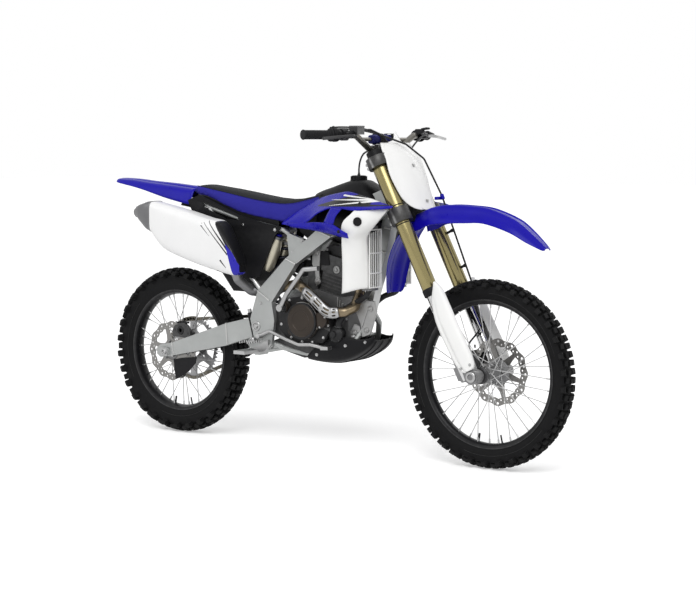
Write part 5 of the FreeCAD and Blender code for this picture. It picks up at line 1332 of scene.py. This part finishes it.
def makeSwingarmParts():
    makeBeads("swingarm_welds", welds["arm"], 3.2)
    bm = bmesh.new()  # chain adjusters and axle nuts
    outer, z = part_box("swingarm")[0].y / mm, swingarm["axleHeight"]
    addBlock(bm, at(-2, -98.5, z), (74, 5, 40))
    addBlock(bm, at(-2, outer - 1.5, z), (34, 4, 32))
    addTurned(bm, at(0, outer, z), rightwards, ((-2, 16), (1.5, 16), (2, 13)), 32)
    addTurned(bm, at(0, outer - 1, z), rightwards, swingarm["nut"], 6)
    addTube(bm, [at(-66, -90, z + 2), at(-34, -90, z + 2)], 4, 12)
    addTurned(bm, at(-52, -90, z + 2), forwards, ((-5, 7.5), (0, 7.5), (1, 6.5)), 6)
    mirrorAll(bm)
    finishPiece("chain_adjusters", bm, "root", "brightSteel", bevel=0.7)
    bm = bmesh.new()  # slider on the arm's left and chain guide under it
    for outline in swingarm["guides"]:
        addSheet(bm, outline, 60, 34)
    finishPiece("chain_guides", bm, "root", "blackPlastic", bevel=2.0)


# profiles of the body: start and radius rows along its line in shares of the length, sides, finish
shock = {
    "top": (556, 0, 838), "foot": (428, 0, 428), "turns": 7.2, "steps": 20, "wire": 5.6, "coil": 29.5,
    "body": ((((0.09, 35.5), (0.115, 35.5), (0.12, 33)), 40, 1),
             (((0, 22), (0.06, 25), (0.095, 25), (0.48, 22), (0.5, 18)), 36, 0),
             (((0.48, 9), (0.905, 9)), 20, 2),
             (((0.735, 34), (0.76, 35), (0.775, 24), (0.9, 20)), 36, 1)),
    "tankTop": (552, -66, 817), "tankLow": (491, -66, 669),
    "tank": ((-2, 12), (2, 17), (14, 20), (34, 24), (60, 25), (96, 24.5), (120, 22), (136, 18), (144, 11)),
    "lid": ((-9, 21), (-2, 22), (1, 21), (3, 15), (3, 9)), "knob": ((-1, 12), (5, 12), (7, 9)),
}


def makeShock():
    top, foot = at(*shock["top"]), at(*shock["foot"])
    down = (foot - top).normalized()
    length = (foot - top).length
    side, front = sideways(down)
    bm = bmesh.new()  # coil
    points = []
    count = int(shock["turns"] * shock["steps"])
    for k in range(count + 1):
        a = 2 * math.pi * k / shock["steps"]
        out = (side * math.cos(a) + front * math.sin(a)) * (shock["coil"] * mm)
        points.append(top + down * (length * (0.12 + 0.62 * k / (shock["turns"] * shock["steps"]))) + out)
    addTube(bm, points, shock["wire"], 10)
    finishPiece("shock_spring", bm, "root", "springBlack")
    bm = bmesh.new()  # body, rod, collars, head, eye and reservoir
    for profile, sides, mat in shock["body"]:
        addTurned(bm, top, down, [(length * share / mm, radius) for share, radius in profile], sides, mat)
    for middle, half, radius in ((top, 24, 17), (foot, 19, 16)):
        addTube(bm, [middle - leftwards * (half * mm), middle + leftwards * (half * mm)], radius, 24, 1)
    high, way = at(*shock["tankTop"]), (at(*shock["tankLow"]) - at(*shock["tankTop"])).normalized()
    addTurned(bm, high, way, shock["tank"], 40)
    addTurned(bm, high - way * 0.003, -way, shock["lid"], 32, 1)
    addTurned(bm, high - way * 0.005, -way, shock["knob"], 12, 3)
    addTube(bm, [at(556, -6, 826), at(553, -50, 808)], 13, 20)
    finishPiece("rear_shock_body", bm, "root", "reservoirGold darkSteel forkChrome bluePlastic", ("rear_shock",))


engine = {
    "clutch": (717, -142, 507), "pump": (802, -134.8, 513), "lean": (0.975, -0.22),
    "bosses": 8, "bossRadius": 66.5, "coverBoltSide": 118.5, "leftBoltSide": -93.1, "headBoltSide": 46,
    "turned": (  # (middle, profile, sides) to the right
        ((717, -142, 507), ((-23, 72), (-14, 72), (-12, 69), (-2, 66), (2.5, 60), (3, 40), (1, 38), (1, 1)), 64),
        ((802, -134.8, 513), ((-16, 32), (-2, 31), (1, 28), (3, 16), (4, 0.8)), 40),
        ((631, -148, 554), ((-28, 22), (-3, 21), (-0.5, 18)), 32),
        ((655, -118, 462), ((-4, 17), (4, 16), (6, 14), (6, 1)), 32)),
    "seam": ((-12.5, 67), (-12.5, 71.2), (-9, 70.4), (-9, 66)),
    "coverBolts": ((606, 486), (610, 550), (646, 580), (706, 592), (762, 580), (820, 547), (828, 494), (806, 446),
                   (754, 426), (706, 424), (654, 438)),
    "leftBolts": ((620, 470), (640, 560), (700, 584), (790, 566), (836, 510), (820, 446), (760, 412), (660, 420)),
    "headBolts": ((770, 775), (860, 755)),
    "breather": ((690, -56, 610), (676, -64, 632), (650, -66, 660), (600, -60, 690)),
    "plug": ((-2, 15), (3, 15), (4, 12), (4, 7), (9, 7), (10, 5)),
    "hoses": (((1004, -98, 634), (988, -96, 612), (946, -84, 590), (890, -84, 560), (838, -108, 528)),
              ((1004, 98, 634), (990, 92, 614), (950, 74, 596), (906, 66, 560), (860, 62, 520)),
              ((1004, -80, 846), (970, -76, 838), (920, -52, 800), (880, -26, 776)),
              ((1004, 80, 846), (970, 76, 838), (920, 52, 800), (880, 26, 776))),
}


def makeEngine():
    clutch, pump = at(*engine["clutch"]), at(*engine["pump"])
    bm = bmesh.new()  # clutch cover with its bosses, pump cover, oil filter, kick boss
    for middle, profile, sides in engine["turned"]:
        addTurned(bm, at(*middle), rightwards, profile, sides)
    bosses = turnsOf(engine["bosses"], math.pi / engine["bosses"])
    for a in bosses:
        addTurned(bm, onCircle(clutch, a, engine["bossRadius"], 14.5), rightwards, ((-8, 7), (0, 7), (1, 6)), 16)
    addTurned(bm, clutch, rightwards, engine["seam"], 64, 1)
    finishPiece("clutch_cover", bm, "root", "coverBronze brightSteel", bevel=1.0)
    bm = bmesh.new()
    addBolts(bm, [(x, z, engine["coverBoltSide"]) for x, z in engine["coverBolts"]], rightwards, 4.2)
    addBolts(bm, [(x, z, engine["leftBoltSide"]) for x, z in engine["leftBolts"]], leftwards, 4.2)
    for a in bosses:
        addBolt(bm, onCircle(clutch, a, engine["bossRadius"], 13), rightwards, 3.6)
    for a in turnsOf(3, 0.5):
        addBolt(bm, onCircle(pump, a, 26), rightwards, 3.4)
    for flank in (-1, 1):
        addBolts(bm, [(x, z, flank * engine["headBoltSide"]) for x, z in engine["headBolts"]], rightwards * flank, 4.5)
    finishPiece("engine_bolts", bm, "root", "brightSteel")
    bm = bmesh.new()  # ribs of the castings, plugs and breather
    for k in range(5):
        addBlock(bm, at(800 + 4 * k, 0, 628 + 13 * k), (118, 108, 4), leaned(*engine["lean"]), mat=1)
    addTube(bm, route(engine["breather"], 5), 6.5, 12, 1)
    addTurned(bm, at(824, -56, 700), rightwards, engine["plug"], 24)
    addBlock(bm, at(700, -70, 596), (64, 20, 16), taper=0.8)
    addBlock(bm, at(865, -62, 470), (26, 26, 60), taper=0.8)
    addBlock(bm, at(800, 0, 792), (60, 70, 18), leaned(0.98, -0.2), 0.8)
    finishPiece("engine_castings", bm, "root", "castSilver engineDark", bevel=1.2)
    bm = bmesh.new()  # water hoses from the radiators to pump and head
    for points in engine["hoses"]:
        addTube(bm, route(points, 6), 11, 16)
    finishPiece("water_hoses", bm, "root", "hoseBlack")


bay = {
    "hanger": ((722, 818), (764, 814), (751, 772), (748, 728), (745, 690), (751, 646), (731, 636), (726, 690),
               (712, 718), (712, 772)),
    "hangerSide": -63, "bracketSide": -70,
    "hangerBolts": ((733, 768), (740, 654)), "hangerBolt": ((-2, 14), (3, 14), (4, 12), (4, 6), (7, 6)),
    "brackets": (((918, 584), (958, 596), (1004, 590), (1014, 552), (998, 500), (985, 464), (952, 452), (944, 500),
                  (926, 540)), ((897, 470), (915, 500), (940, 492), (946, 456), (926, 442), (900, 446))),
    "bracketBolts": ((936, 572), (990, 562), (972, 480), (918, 468)),
    "bracketBolt": ((-1, 11), (3, 11), (5, 9), (5, 5), (8, 5)),
    "pump": (858, -112, 462),
    "pumpBody": ((-40, 24), (-14, 25), (-10, 31), (0, 31), (2, 27), (8, 22), (12, 14), (20, 12), (21, 9)),
    "pumpPipe": ((872, -108, 486), (872, -106, 508), (884, -98, 530), (892, -88, 552)),
    "sump": ((546, 418), (550, 394), (610, 376), (690, 358), (752, 366), (760, 416)),
    "boot": ((505, 0, 716), (548, 0, 712), (590, 0, 706), (628, 0, 702)),
    "bellows": (36, 35, 32, 34, 31, 33, 30, 32, 29, 31, 28, 30, 30),
    "throttle": ((-4, 33), (4, 33), (6, 29), (34, 29), (36, 33), (44, 33)),
    "leads": ((((880, -30, 800), (858, -16, 808), (836, -4, 806), (826, 0, 796)), 4.5),
              (((742, -54, 726), (716, -58, 716), (700, -50, 740), (690, -40, 772)), 5)),
    "guard": ((905, -120, 549), (850, -140, 548), (788, -140, 590), (711, -120, 633)), "guardRadius": 24.5,
}


def makeEngineBay():
    bm = bmesh.new()  # engine hangers, brackets at the down tube, case ribs
    addSheet(bm, bay["hanger"], bay["hangerSide"], 6)
    for x, z in bay["hangerBolts"]:
        addTurned(bm, at(x, bay["hangerSide"], z), rightwards, bay["hangerBolt"], 20)
    mirrorAll(bm)
    for outline in bay["brackets"]:
        addSheet(bm, outline, bay["bracketSide"], 12)
    for x, z in bay["bracketBolts"]:
        addTurned(bm, at(x, bay["bracketSide"], z), rightwards, bay["bracketBolt"], 20)
    addBlock(bm, at(966, bay["bracketSide"], 530), (5, 8, 90), leaned(0.93, -0.36), 0.7)
    for k in range(5):  # ribs down the front of the crankcase's side
        addBlock(bm, at(846 + 10 * k, -76, 566 - 8 * k), (4, 16, 66 - 6 * k), taper=0.7)
    finishPiece("engine_hangers", bm, "root", "castSilver", bevel=1.6)
    bm = bmesh.new()  # water pump with its inlet and outlet, drain cover, sump and cylinder jacket
    pump = at(*bay["pump"])
    addTurned(bm, pump, rightwards, bay["pumpBody"], 36)
    addTube(bm, route(bay["pumpPipe"], 4), [13] * 9 + [14] * 4, 18)
    addTube(bm, [at(838, -112, 476), at(812, -112, 484)], 8, 14)
    for a in turnsOf(5, 0.3):
        addBolt(bm, onCircle(pump, a, 28), rightwards, 3)
    addTurned(bm, at(790, -112, 446), rightwards, ((-14, 22), (2, 22), (5, 19), (6, 1)), 32)
    addSheet(bm, bay["sump"], -84, 140)
    addBlock(bm, at(704, -26, 652), (52, 46, 96), taper=0.86)
    finishPiece("water_pump", bm, "root", "engineDark", bevel=1.2)
    bm = bmesh.new()  # intake boot, throttle body, coil and leads
    addTube(bm, route(bay["boot"], 4), bay["bellows"], 28)
    addTurned(bm, at(628, 0, 702), Vector((1, 0, -0.05)), bay["throttle"], 36, 1)
    addTube(bm, [at(646, -26, 704), at(646, -58, 704)], 13, 20, 1)
    addTurned(bm, at(646, -54, 704), rightwards, ((0, 18), (3, 20), (8, 20), (10, 16)), 24)
    for y in (-34, 34):
        addBlock(bm, at(905, y, 797), (62, 40, 30), taper=0.85)
    addBlock(bm, at(764, -48, 742), (54, 26, 52), taper=0.86)
    for points, radius in bay["leads"]:
        addTube(bm, route(points, 4), radius, 10)
    finishPiece("intake_parts", bm, "root", "blackRubber engineDark", bevel=1.2)


def makeHeaderShield():
    bm = bmesh.new()  # perforated guard over the pipe's outer side
    path = route(bay["guard"], 10)[3:-3]
    last = len(path) - 1
    rows = []
    for i, point in enumerate(path):
        ahead = (path[min(i + 1, last)] - path[max(i - 1, 0)]).normalized()
        out = (rightwards - ahead * rightwards.dot(ahead)).normalized()
        up = ahead.cross(out)
        reach = 1.15 * (1 - 0.35 * max(0, 1 - min(i, last - i) / 3))  # less at both ends
        turns = [(k - 8) / 8 * reach for k in range(17)]
        rows.append([point + (out * math.cos(a) + up * math.sin(a)) * (bay["guardRadius"] * mm) for a in turns])
    addRows(bm, rows)
    bm.faces.ensure_lookup_table()
    holes = [bm.faces[i * 16 + k] for i in range(2, last - 2) for k in range(3, 13)
             if i % 6 < 4 and (k + i // 6 * 2) % 4 < 2]
    bmesh.ops.delete(bm, geom=holes, context="FACES_ONLY")
    finishPiece("header_guard", bm, "root", "brightSteel", thickness=1.4)
    bm = bmesh.new()  # clamps at the muffler and the bend, flange at the head
    addTurned(bm, at(404, -160, 694), Vector((-0.1, -0.1, 1)), ((-10, 22.5), (10, 22.5)), 32)
    addTurned(bm, at(562, -59, 622), Vector((1, 0, 0.15)), ((-8, 21.5), (8, 21.5)), 32)
    addTurned(bm, at(886, 0, 706), Vector((1, -0.2, -0.1)), ((-2, 30), (8, 30)), 32)
    addBolts(bm, ((894, 706, -24), (894, 706, 24)), forwards, 4.5)
    finishPiece("header_clamps", bm, "root", "brightSteel", bevel=0.8)


def makePegs():
    low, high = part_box("foot_pegs")
    bm = bmesh.new()  # toothed frames of the pegs
    for k in range(7):
        for shift in (-19, 19):
            spot = Vector(((low.x + high.x) / 2, 0, high.z)) + Vector((shift, -142 - 14 * k, -4)) * mm
            addBlock(bm, spot, (5, 6, 9), taper=0.4)
    mirrorAll(bm)
    finishPiece("peg_teeth", bm, "root", "brightSteel")
    bm = bmesh.new()  # pivot of the pedal, switch and cylinder behind it
    addTurned(bm, at(479, -124, 418), rightwards, ((-6, 12), (20, 12), (22, 10), (22, 6), (18, 5), (18, 0.6)), 28)
    addTube(bm, [at(466, -104, 426), at(440, -104, 520)], 11, 20, 1)
    addTube(bm, [at(440, -104, 520), at(436, -104, 534)], 8, 16)
    addTube(bm, [at(470, -108, 402), at(466, -104, 428)], 4)
    finishPiece("pedal_pivot", bm, "root", "brightSteel blackPlastic", bevel=0.6)


makeFrameParts()
makeSwingarmParts()
makeShock()
makeEngine()
makeEngineBay()
makeHeaderShield()
makePegs()
makeBolts("skid_bolts", "root", skid["bolts"], (0.1, -0.9, -0.3), 5, both=True)
print("engine and chassis made")


# forks, cockpit and controls

fork = {
    "cap": ((0, 29.9), (29, 29.9), (31, 28), (31, 20)),
    "screw": ((0, 20), (5, 20), (6.5, 18), (6.5, 7), (9, 6), (9, 0.5)),
    "seal": ((-12, 26), (-10, 29.5), (0, 30.6), (14, 30.6), (16, 29.5)),
    "bands": (690, 618), "pinchBolts": (638, 667, 862, 878),
    "axleNut": ((-4, 20), (4, 20), (6, 18), (6, 11), (0, 10), (0, 0.6)),
    "guard": (  # (up the leg, rear edge, front edge, how far it wraps round the front)
        (370, 60, 72, 0.2), (354, 49, 79, 0.5), (330, 32, 85, 0.9), (300, 18, 86, 1), (254, 6, 87, 1),
        (210, 3, 87, 1), (174, 4, 88, 1), (120, 7, 90, 1), (80, 10, 91, 1), (50, 17, 89, 0.9), (32, 26, 84, 0.6),
        (24, 36, 74, 0.3)),
    "guardBolts": ((30, 44), (72, 42)),
}


def makeForkParts():
    bm = bmesh.new()  # caps, dust seals, rings of the outer tubes
    for side in (-105, 105):
        addTurned(bm, steered(21, side, 884), steerUp, fork["cap"], 40)
        addTurned(bm, steered(21, side, 912), steerUp, fork["screw"], 6)
        addTurned(bm, steered(21, side, 345), steerUp, fork["seal"], 40)
        for s in fork["bands"]:
            addTurned(bm, steered(21, side, s), steerUp, ((-2, 29.7), (2, 29.7)), 40)
    finishPiece("fork_caps", bm, "steering", "blackPlastic", bevel=0.4)
    bm = bmesh.new()  # pinch bolts of the clamps, bar clamps, axle nut
    for flank in (-1, 1):
        for s in fork["pinchBolts"]:
            addTurned(bm, steered(-19, flank * 105 - 4, s), leftwards * flank, ((-14, 6), (12, 6), (13, 5)), 16)
        for shift in (-16, 16):
            addBolt(bm, at(999.4 + shift, flank * 50, 1165.5), upwards, 5)
        addTurned(bm, at(1468, flank * 129, 347), leftwards * flank, fork["axleNut"], 32)
        for shift in (-14, 14):
            addBolt(bm, at(1434, flank * 118, 363 + shift), Vector((-0.9, 0, -0.4)), 4.5)
    finishPiece("fork_bolts", bm, "steering", "brightSteel", bevel=0.3)
    bm = bmesh.new()  # clamps that hold the bar
    for flank in (-1, 1):
        middle = at(999.4, flank * 50, 1150.4)
        addBlock(bm, middle + upwards * 0.008, (48, 26, 22), taper=0.86)
        addBlock(bm, middle - upwards * 0.013, (46, 28, 16))
        addTurned(bm, middle - upwards * 0.02, -upwards, ((0, 16), (16, 15)), 24)
    finishPiece("bar_clamps", bm, "steering", "clampGrey", bevel=1.5)


def makeForkGuards():
    bm = bmesh.new()
    rows = []
    for s, rear, front, wrap in fork["guard"]:
        wide = front - rear
        crease = 3.5 if s < 215 else 0
        rows.append([steered(u, -y, s) for u, y in (
            (rear, 129), (rear + 0.1 * wide, 133.5), (rear + 0.24 * wide, 134.5 - crease), (rear + 0.3 * wide, 137),
            (rear + 0.55 * wide, 137.4), (front - 0.16 * wide, 133), (front - 4, 125 - 6 * wrap),
            (front - 4 - 14 * wrap, 125 - 22 * wrap), (front - 4 - 22 * wrap, 125 - 33 * wrap))])
    addRows(bm, denseRows(rows, 3, 3))
    mirrorAll(bm)
    finishPiece("fork_guard_shells", bm, "steering", "whitePlastic", ("fork_guards",), thickness=2.6)
    bm = bmesh.new()
    for u, s in fork["guardBolts"]:
        addBolt(bm, steered(u, -136, s), rightwards, 4)
    mirrorAll(bm)
    finishPiece("guard_bolts", bm, "steering", "brightSteel")


cockpit = {
    "end": (927.4, -405, 1208.4), "inward": (0.3492, 0.937, 0),
    "gripEnds": (((-0.4, 12), (0, 17), (2, 18.5), (4, 18.5)), ((114, 16.5), (116, 24), (121, 25), (122.5, 20),
                                                              (122.5, 13))),
    "rib": ((-2.2, 15.6), (-1.4, 16.9), (1.6, 16.9), (2.4, 15.6)), "ribs": 15, "ribStep": 7.2,
    "drum": ((0, 14), (1, 24), (8, 25.5), (20, 25.5), (27, 23), (28, 14)),
    "button": ((-7, 13), (-6, 17), (6, 17), (7, 13)), "perch": ((0, 14), (1, 20.5), (27, 20.5), (28, 14)),
    "lid": (1039.5, -228), "adjuster": ((-8, 6), (4, 6), (5, 7.5), (11, 7.5), (12, 5), (22, 4)),
    "clutchCable": ((1056, 168, 1200), (1060, 120, 1176), (1068, 70, 1140), (1084, 44, 1096), (1096, 36, 1050)),
}


def barwards(flank):  # along the bar from its end to the middle
    x, y, z = cockpit["inward"]
    return Vector((x, y * -flank, z))


def onBar(reach, flank=-1, forward=0, up=0):  # millimetres in from the end of the bar
    x, y, z = cockpit["end"]
    return at(x + forward, -y * flank, z + up) + barwards(flank) * (reach * mm)


def makeGrips():
    bm = bmesh.new()
    outer, inner = cockpit["gripEnds"]
    ribs = [(7 + cockpit["ribStep"] * k + along, radius) for k in range(cockpit["ribs"])
            for along, radius in cockpit["rib"]]
    for flank in (-1, 1):
        addTurned(bm, onBar(0, flank), barwards(flank), [*outer, *ribs, *inner], 28)
    finishPiece("grip_rubbers", bm, "steering", "blackRubber", ("grips",))


def makeControls():
    bm = bmesh.new()  # throttle drum with its cable spout, stop button, perch covers
    addTurned(bm, onBar(124), barwards(-1), cockpit["drum"], 32)
    addTube(bm, [onBar(138, -1, -4, 14), onBar(142, -1, -14, 22), onBar(156, -1, -24, 25)], 8, 14)
    addBlock(bm, onBar(138, -1, -8, 18), (26, 24, 22), taper=0.7)
    for flank, reach in ((1, 136), (-1, 158)):
        addTurned(bm, onBar(reach, flank), barwards(flank), cockpit["button"], 24)
        addBlock(bm, onBar(reach, flank, -14, 6), (16, 14, 18), taper=0.8)
        addTurned(bm, onBar(164, flank), barwards(flank), cockpit["perch"], 28)
        addBlock(bm, onBar(178, flank, 30, 1), (44, 26, 24), taper=0.8)
        addTube(bm, [onBar(178, flank, 50, 9), onBar(150, flank, 58, 4), onBar(128, flank, 64, 2)], [9, 8, 6], 14)
    addBlock(bm, onBar(192, 1, 18, 14), (34, 30, 20), taper=0.8)
    addTube(bm, [onBar(196, 1, 26, 22), onBar(176, 1, 44, 26), onBar(160, 1, 54, 26)], [5, 5, 4])
    finishPiece("control_housings", bm, "steering", "blackPlastic", bevel=1.4)
    bm = bmesh.new()  # lid of the brake tank with its screws, cable adjuster
    lidX, lidY = cockpit["lid"]
    addBlock(bm, at(lidX, lidY, 1238.6), (40, 46, 4), taper=0.94)
    for x in (-14, 14):
        for y in (-17, 17):
            addTurned(bm, at(lidX + x, lidY + y, 1238.2), upwards, ((-1, 3), (1.2, 3), (1.6, 2)), 10)
    addTurned(bm, onBar(206, 1, 48, 4), rightwards, cockpit["adjuster"], 16)
    finishPiece("tank_lid", bm, "steering", "darkSteel", bevel=0.6)


def makeCables():
    bm = bmesh.new()  # from both hands to behind the plate
    for shift in (0, 7):
        addTube(bm, route((
            (960, -262, 1231 - shift), (946, -230, 1236 - shift), (954, -180, 1237 - shift),
            (982, -140, 1234 - shift), (1012 + shift, -104, 1224 - shift), (1042 + shift, -76, 1202),
            (1060 + shift, -58, 1166), (1076 + shift, -46, 1120), (1090 + shift, -38, 1066)), 6), 3.2, 10)
    addTube(bm, smoothLine([onBar(214, 1, 48, 4)] + [at(*p) for p in cockpit["clutchCable"]], 6), 3.4, 10)
    finishPiece("control_cables", bm, "steering", "hoseBlack")
    bm = bmesh.new()  # guide that holds the hose beside the plate
    guide = at(1190, 108, 985)
    way = (steered(62, 114, 330) - guide).normalized()
    addTube(bm, [guide - way * 0.004, guide + way * 0.016], 7.5, 16)
    addBlock(bm, at(1183, 92, 974), (10, 34, 12))
    finishPiece("hose_guide", bm, "steering", "bluePlastic", bevel=1.0)
    bm = bmesh.new()  # clips on the left leg
    for u, s in ((72, 560), (66, 420)):
        addTube(bm, [steered(u, 113, s - 6), steered(u, 113, s + 6)], 6, 14)
        addBlock(bm, steered(58, 110, s), (22, 6, 9), (steerOut, leftwards, steerUp))
    finishPiece("hose_clips", bm, "steering", "blackPlastic", bevel=0.6)


caliper = {
    "front": ((0, 17), (9, 16.5), (11, 14), (12, 6)),
    "outside": ((24, 400), (22, 424), (36, 446), (58, 456), (84, 458), (104, 446), (117, 424), (116, 402), (90, 397)),
    "inside": ((24, 400), (22, 424), (36, 446), (58, 456), (70, 440), (104, 420), (112, 402)),
    "cylinder": ((-6, 20), (2, 20), (5, 17), (7, 16), (7, 9), (4, 8), (4, 0.6)),
    "fin": ((26, 306), (60, 312), (148, 322), (140, 296), (105, 262), (70, 240), (36, 225), (30, 262)),
    "pins": ((34, 428), (104, 416)),
}


def makeCaliperParts():
    bm = bmesh.new()  # front caliper: two cylinders and the bleeder
    low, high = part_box("front_caliper")
    middle, span = (low + high) / 2, high - low
    for share in (0.3, 0.66):
        spot = Vector((low.x + span.x * 0.42, high.y - 0.026, low.z + span.z * share))
        addTurned(bm, spot, leftwards, caliper["front"], 28)
    addTube(bm, [middle + Vector((-0.01, 0.02, 0.05)), middle + Vector((-0.012, 0.022, 0.062))], 3.5, 10)
    finishPiece("front_caliper_parts", bm, "steering", "engineDark", bevel=0.8)
    bm = bmesh.new()  # rear caliper: cover over the cylinder, ribs, and the fin that guards the disc
    addSheet(bm, caliper["outside"], -88, 12, 1)
    addSheet(bm, caliper["inside"], -58, 11, 1)
    addTurned(bm, at(66, -84, 426), rightwards, caliper["cylinder"], 28, 1)
    for x, z in caliper["pins"]:
        addTube(bm, [at(x, -90, z), at(x, -48, z)], 5.5, 14, 1)
    addTube(bm, [at(48, -86, 448), at(44, -90, 462)], 3, 10, 1)
    for k in range(4):
        addBlock(bm, at(44 + 15 * k, -74, 461 - abs(k - 1.5) * 3), (9, 26, 6), taper=0.8)
    addSheet(bm, caliper["fin"], -86, 5)
    finishPiece("rear_caliper_body", bm, "root", "blackPlastic engineDark", ("rear_caliper",),
                bevel=1.2)


makeForkParts()
makeForkGuards()
makeGrips()
makeControls()
makeCables()
makeCaliperParts()
print("forks and cockpit made")


# CAD pieces that keep their shape get their finish and softened edges: width in mm of each

keptNodes = {
    "frameAluminium": {"frame": 1.2, "subframe": 1.0, "swingarm": 1.5, "shock_linkage": 1.0},
    "clampGrey": {"triple_clamps": 1.5},
    "forkChrome": {"fork_lowers": 0.6},
    "forkGold": {"fork_tubes": 0.8},
    "handlebarAlloy": {"handlebar": 0.0},
    "engineGrey": {"crankcase": 2.0},
    # the near-black of the cylinder and engine covers partly paints the shade under the tank
    "engineDark": {"cylinder": 1.5, "engine_covers": 2.0, "front_caliper": 1.5},
    "headerBronze": {"exhaust_pipe": 0.0},
    "blackPlastic": {"airbox": 2.0},
    "brightSteel": {"foot_pegs": 0.8, "brake_pedal": 1.0, "shift_lever": 1.0, "kick_lever": 1.2, "clutch_lever": 0.8},
    "darkSteel": {"brake_lever": 0.8},
    "hoseBlack": {"brake_hose": 0.0},
}


def dressNode(node, finish, bevel):
    node.data.materials.clear()
    node.data.materials.append(skins[finish])
    for polygon in node.data.polygons:
        polygon.material_index = 0
    if bevel:
        node.modifiers.new("weld", "WELD").merge_threshold = 0.00002
        addBevel(node, bevel, 35)


def addSecond(name, finish, belongs):  # another finish on some faces of a CAD piece
    node = frame["nodes"][name]
    node.data.materials.append(skins[finish])
    for polygon in node.data.polygons:
        if belongs(node.matrix_world @ polygon.center):
            polygon.material_index = 1


for finish, bevels in keptNodes.items():
    for name, bevel in bevels.items():
        dressNode(frame["nodes"][name], finish, bevel)
# cast lugs under the bright tubes, and the pipe's rear length in plain steel
addSecond("fork_lowers", "hubAlloy", lambda spot: (spot - steerFoot).dot(steerUp) < 0.062)
addSecond("exhaust_pipe", "mufflerEnd", lambda spot: spot.x < at(500, 0, 0).x)
print("CAD pieces finished")
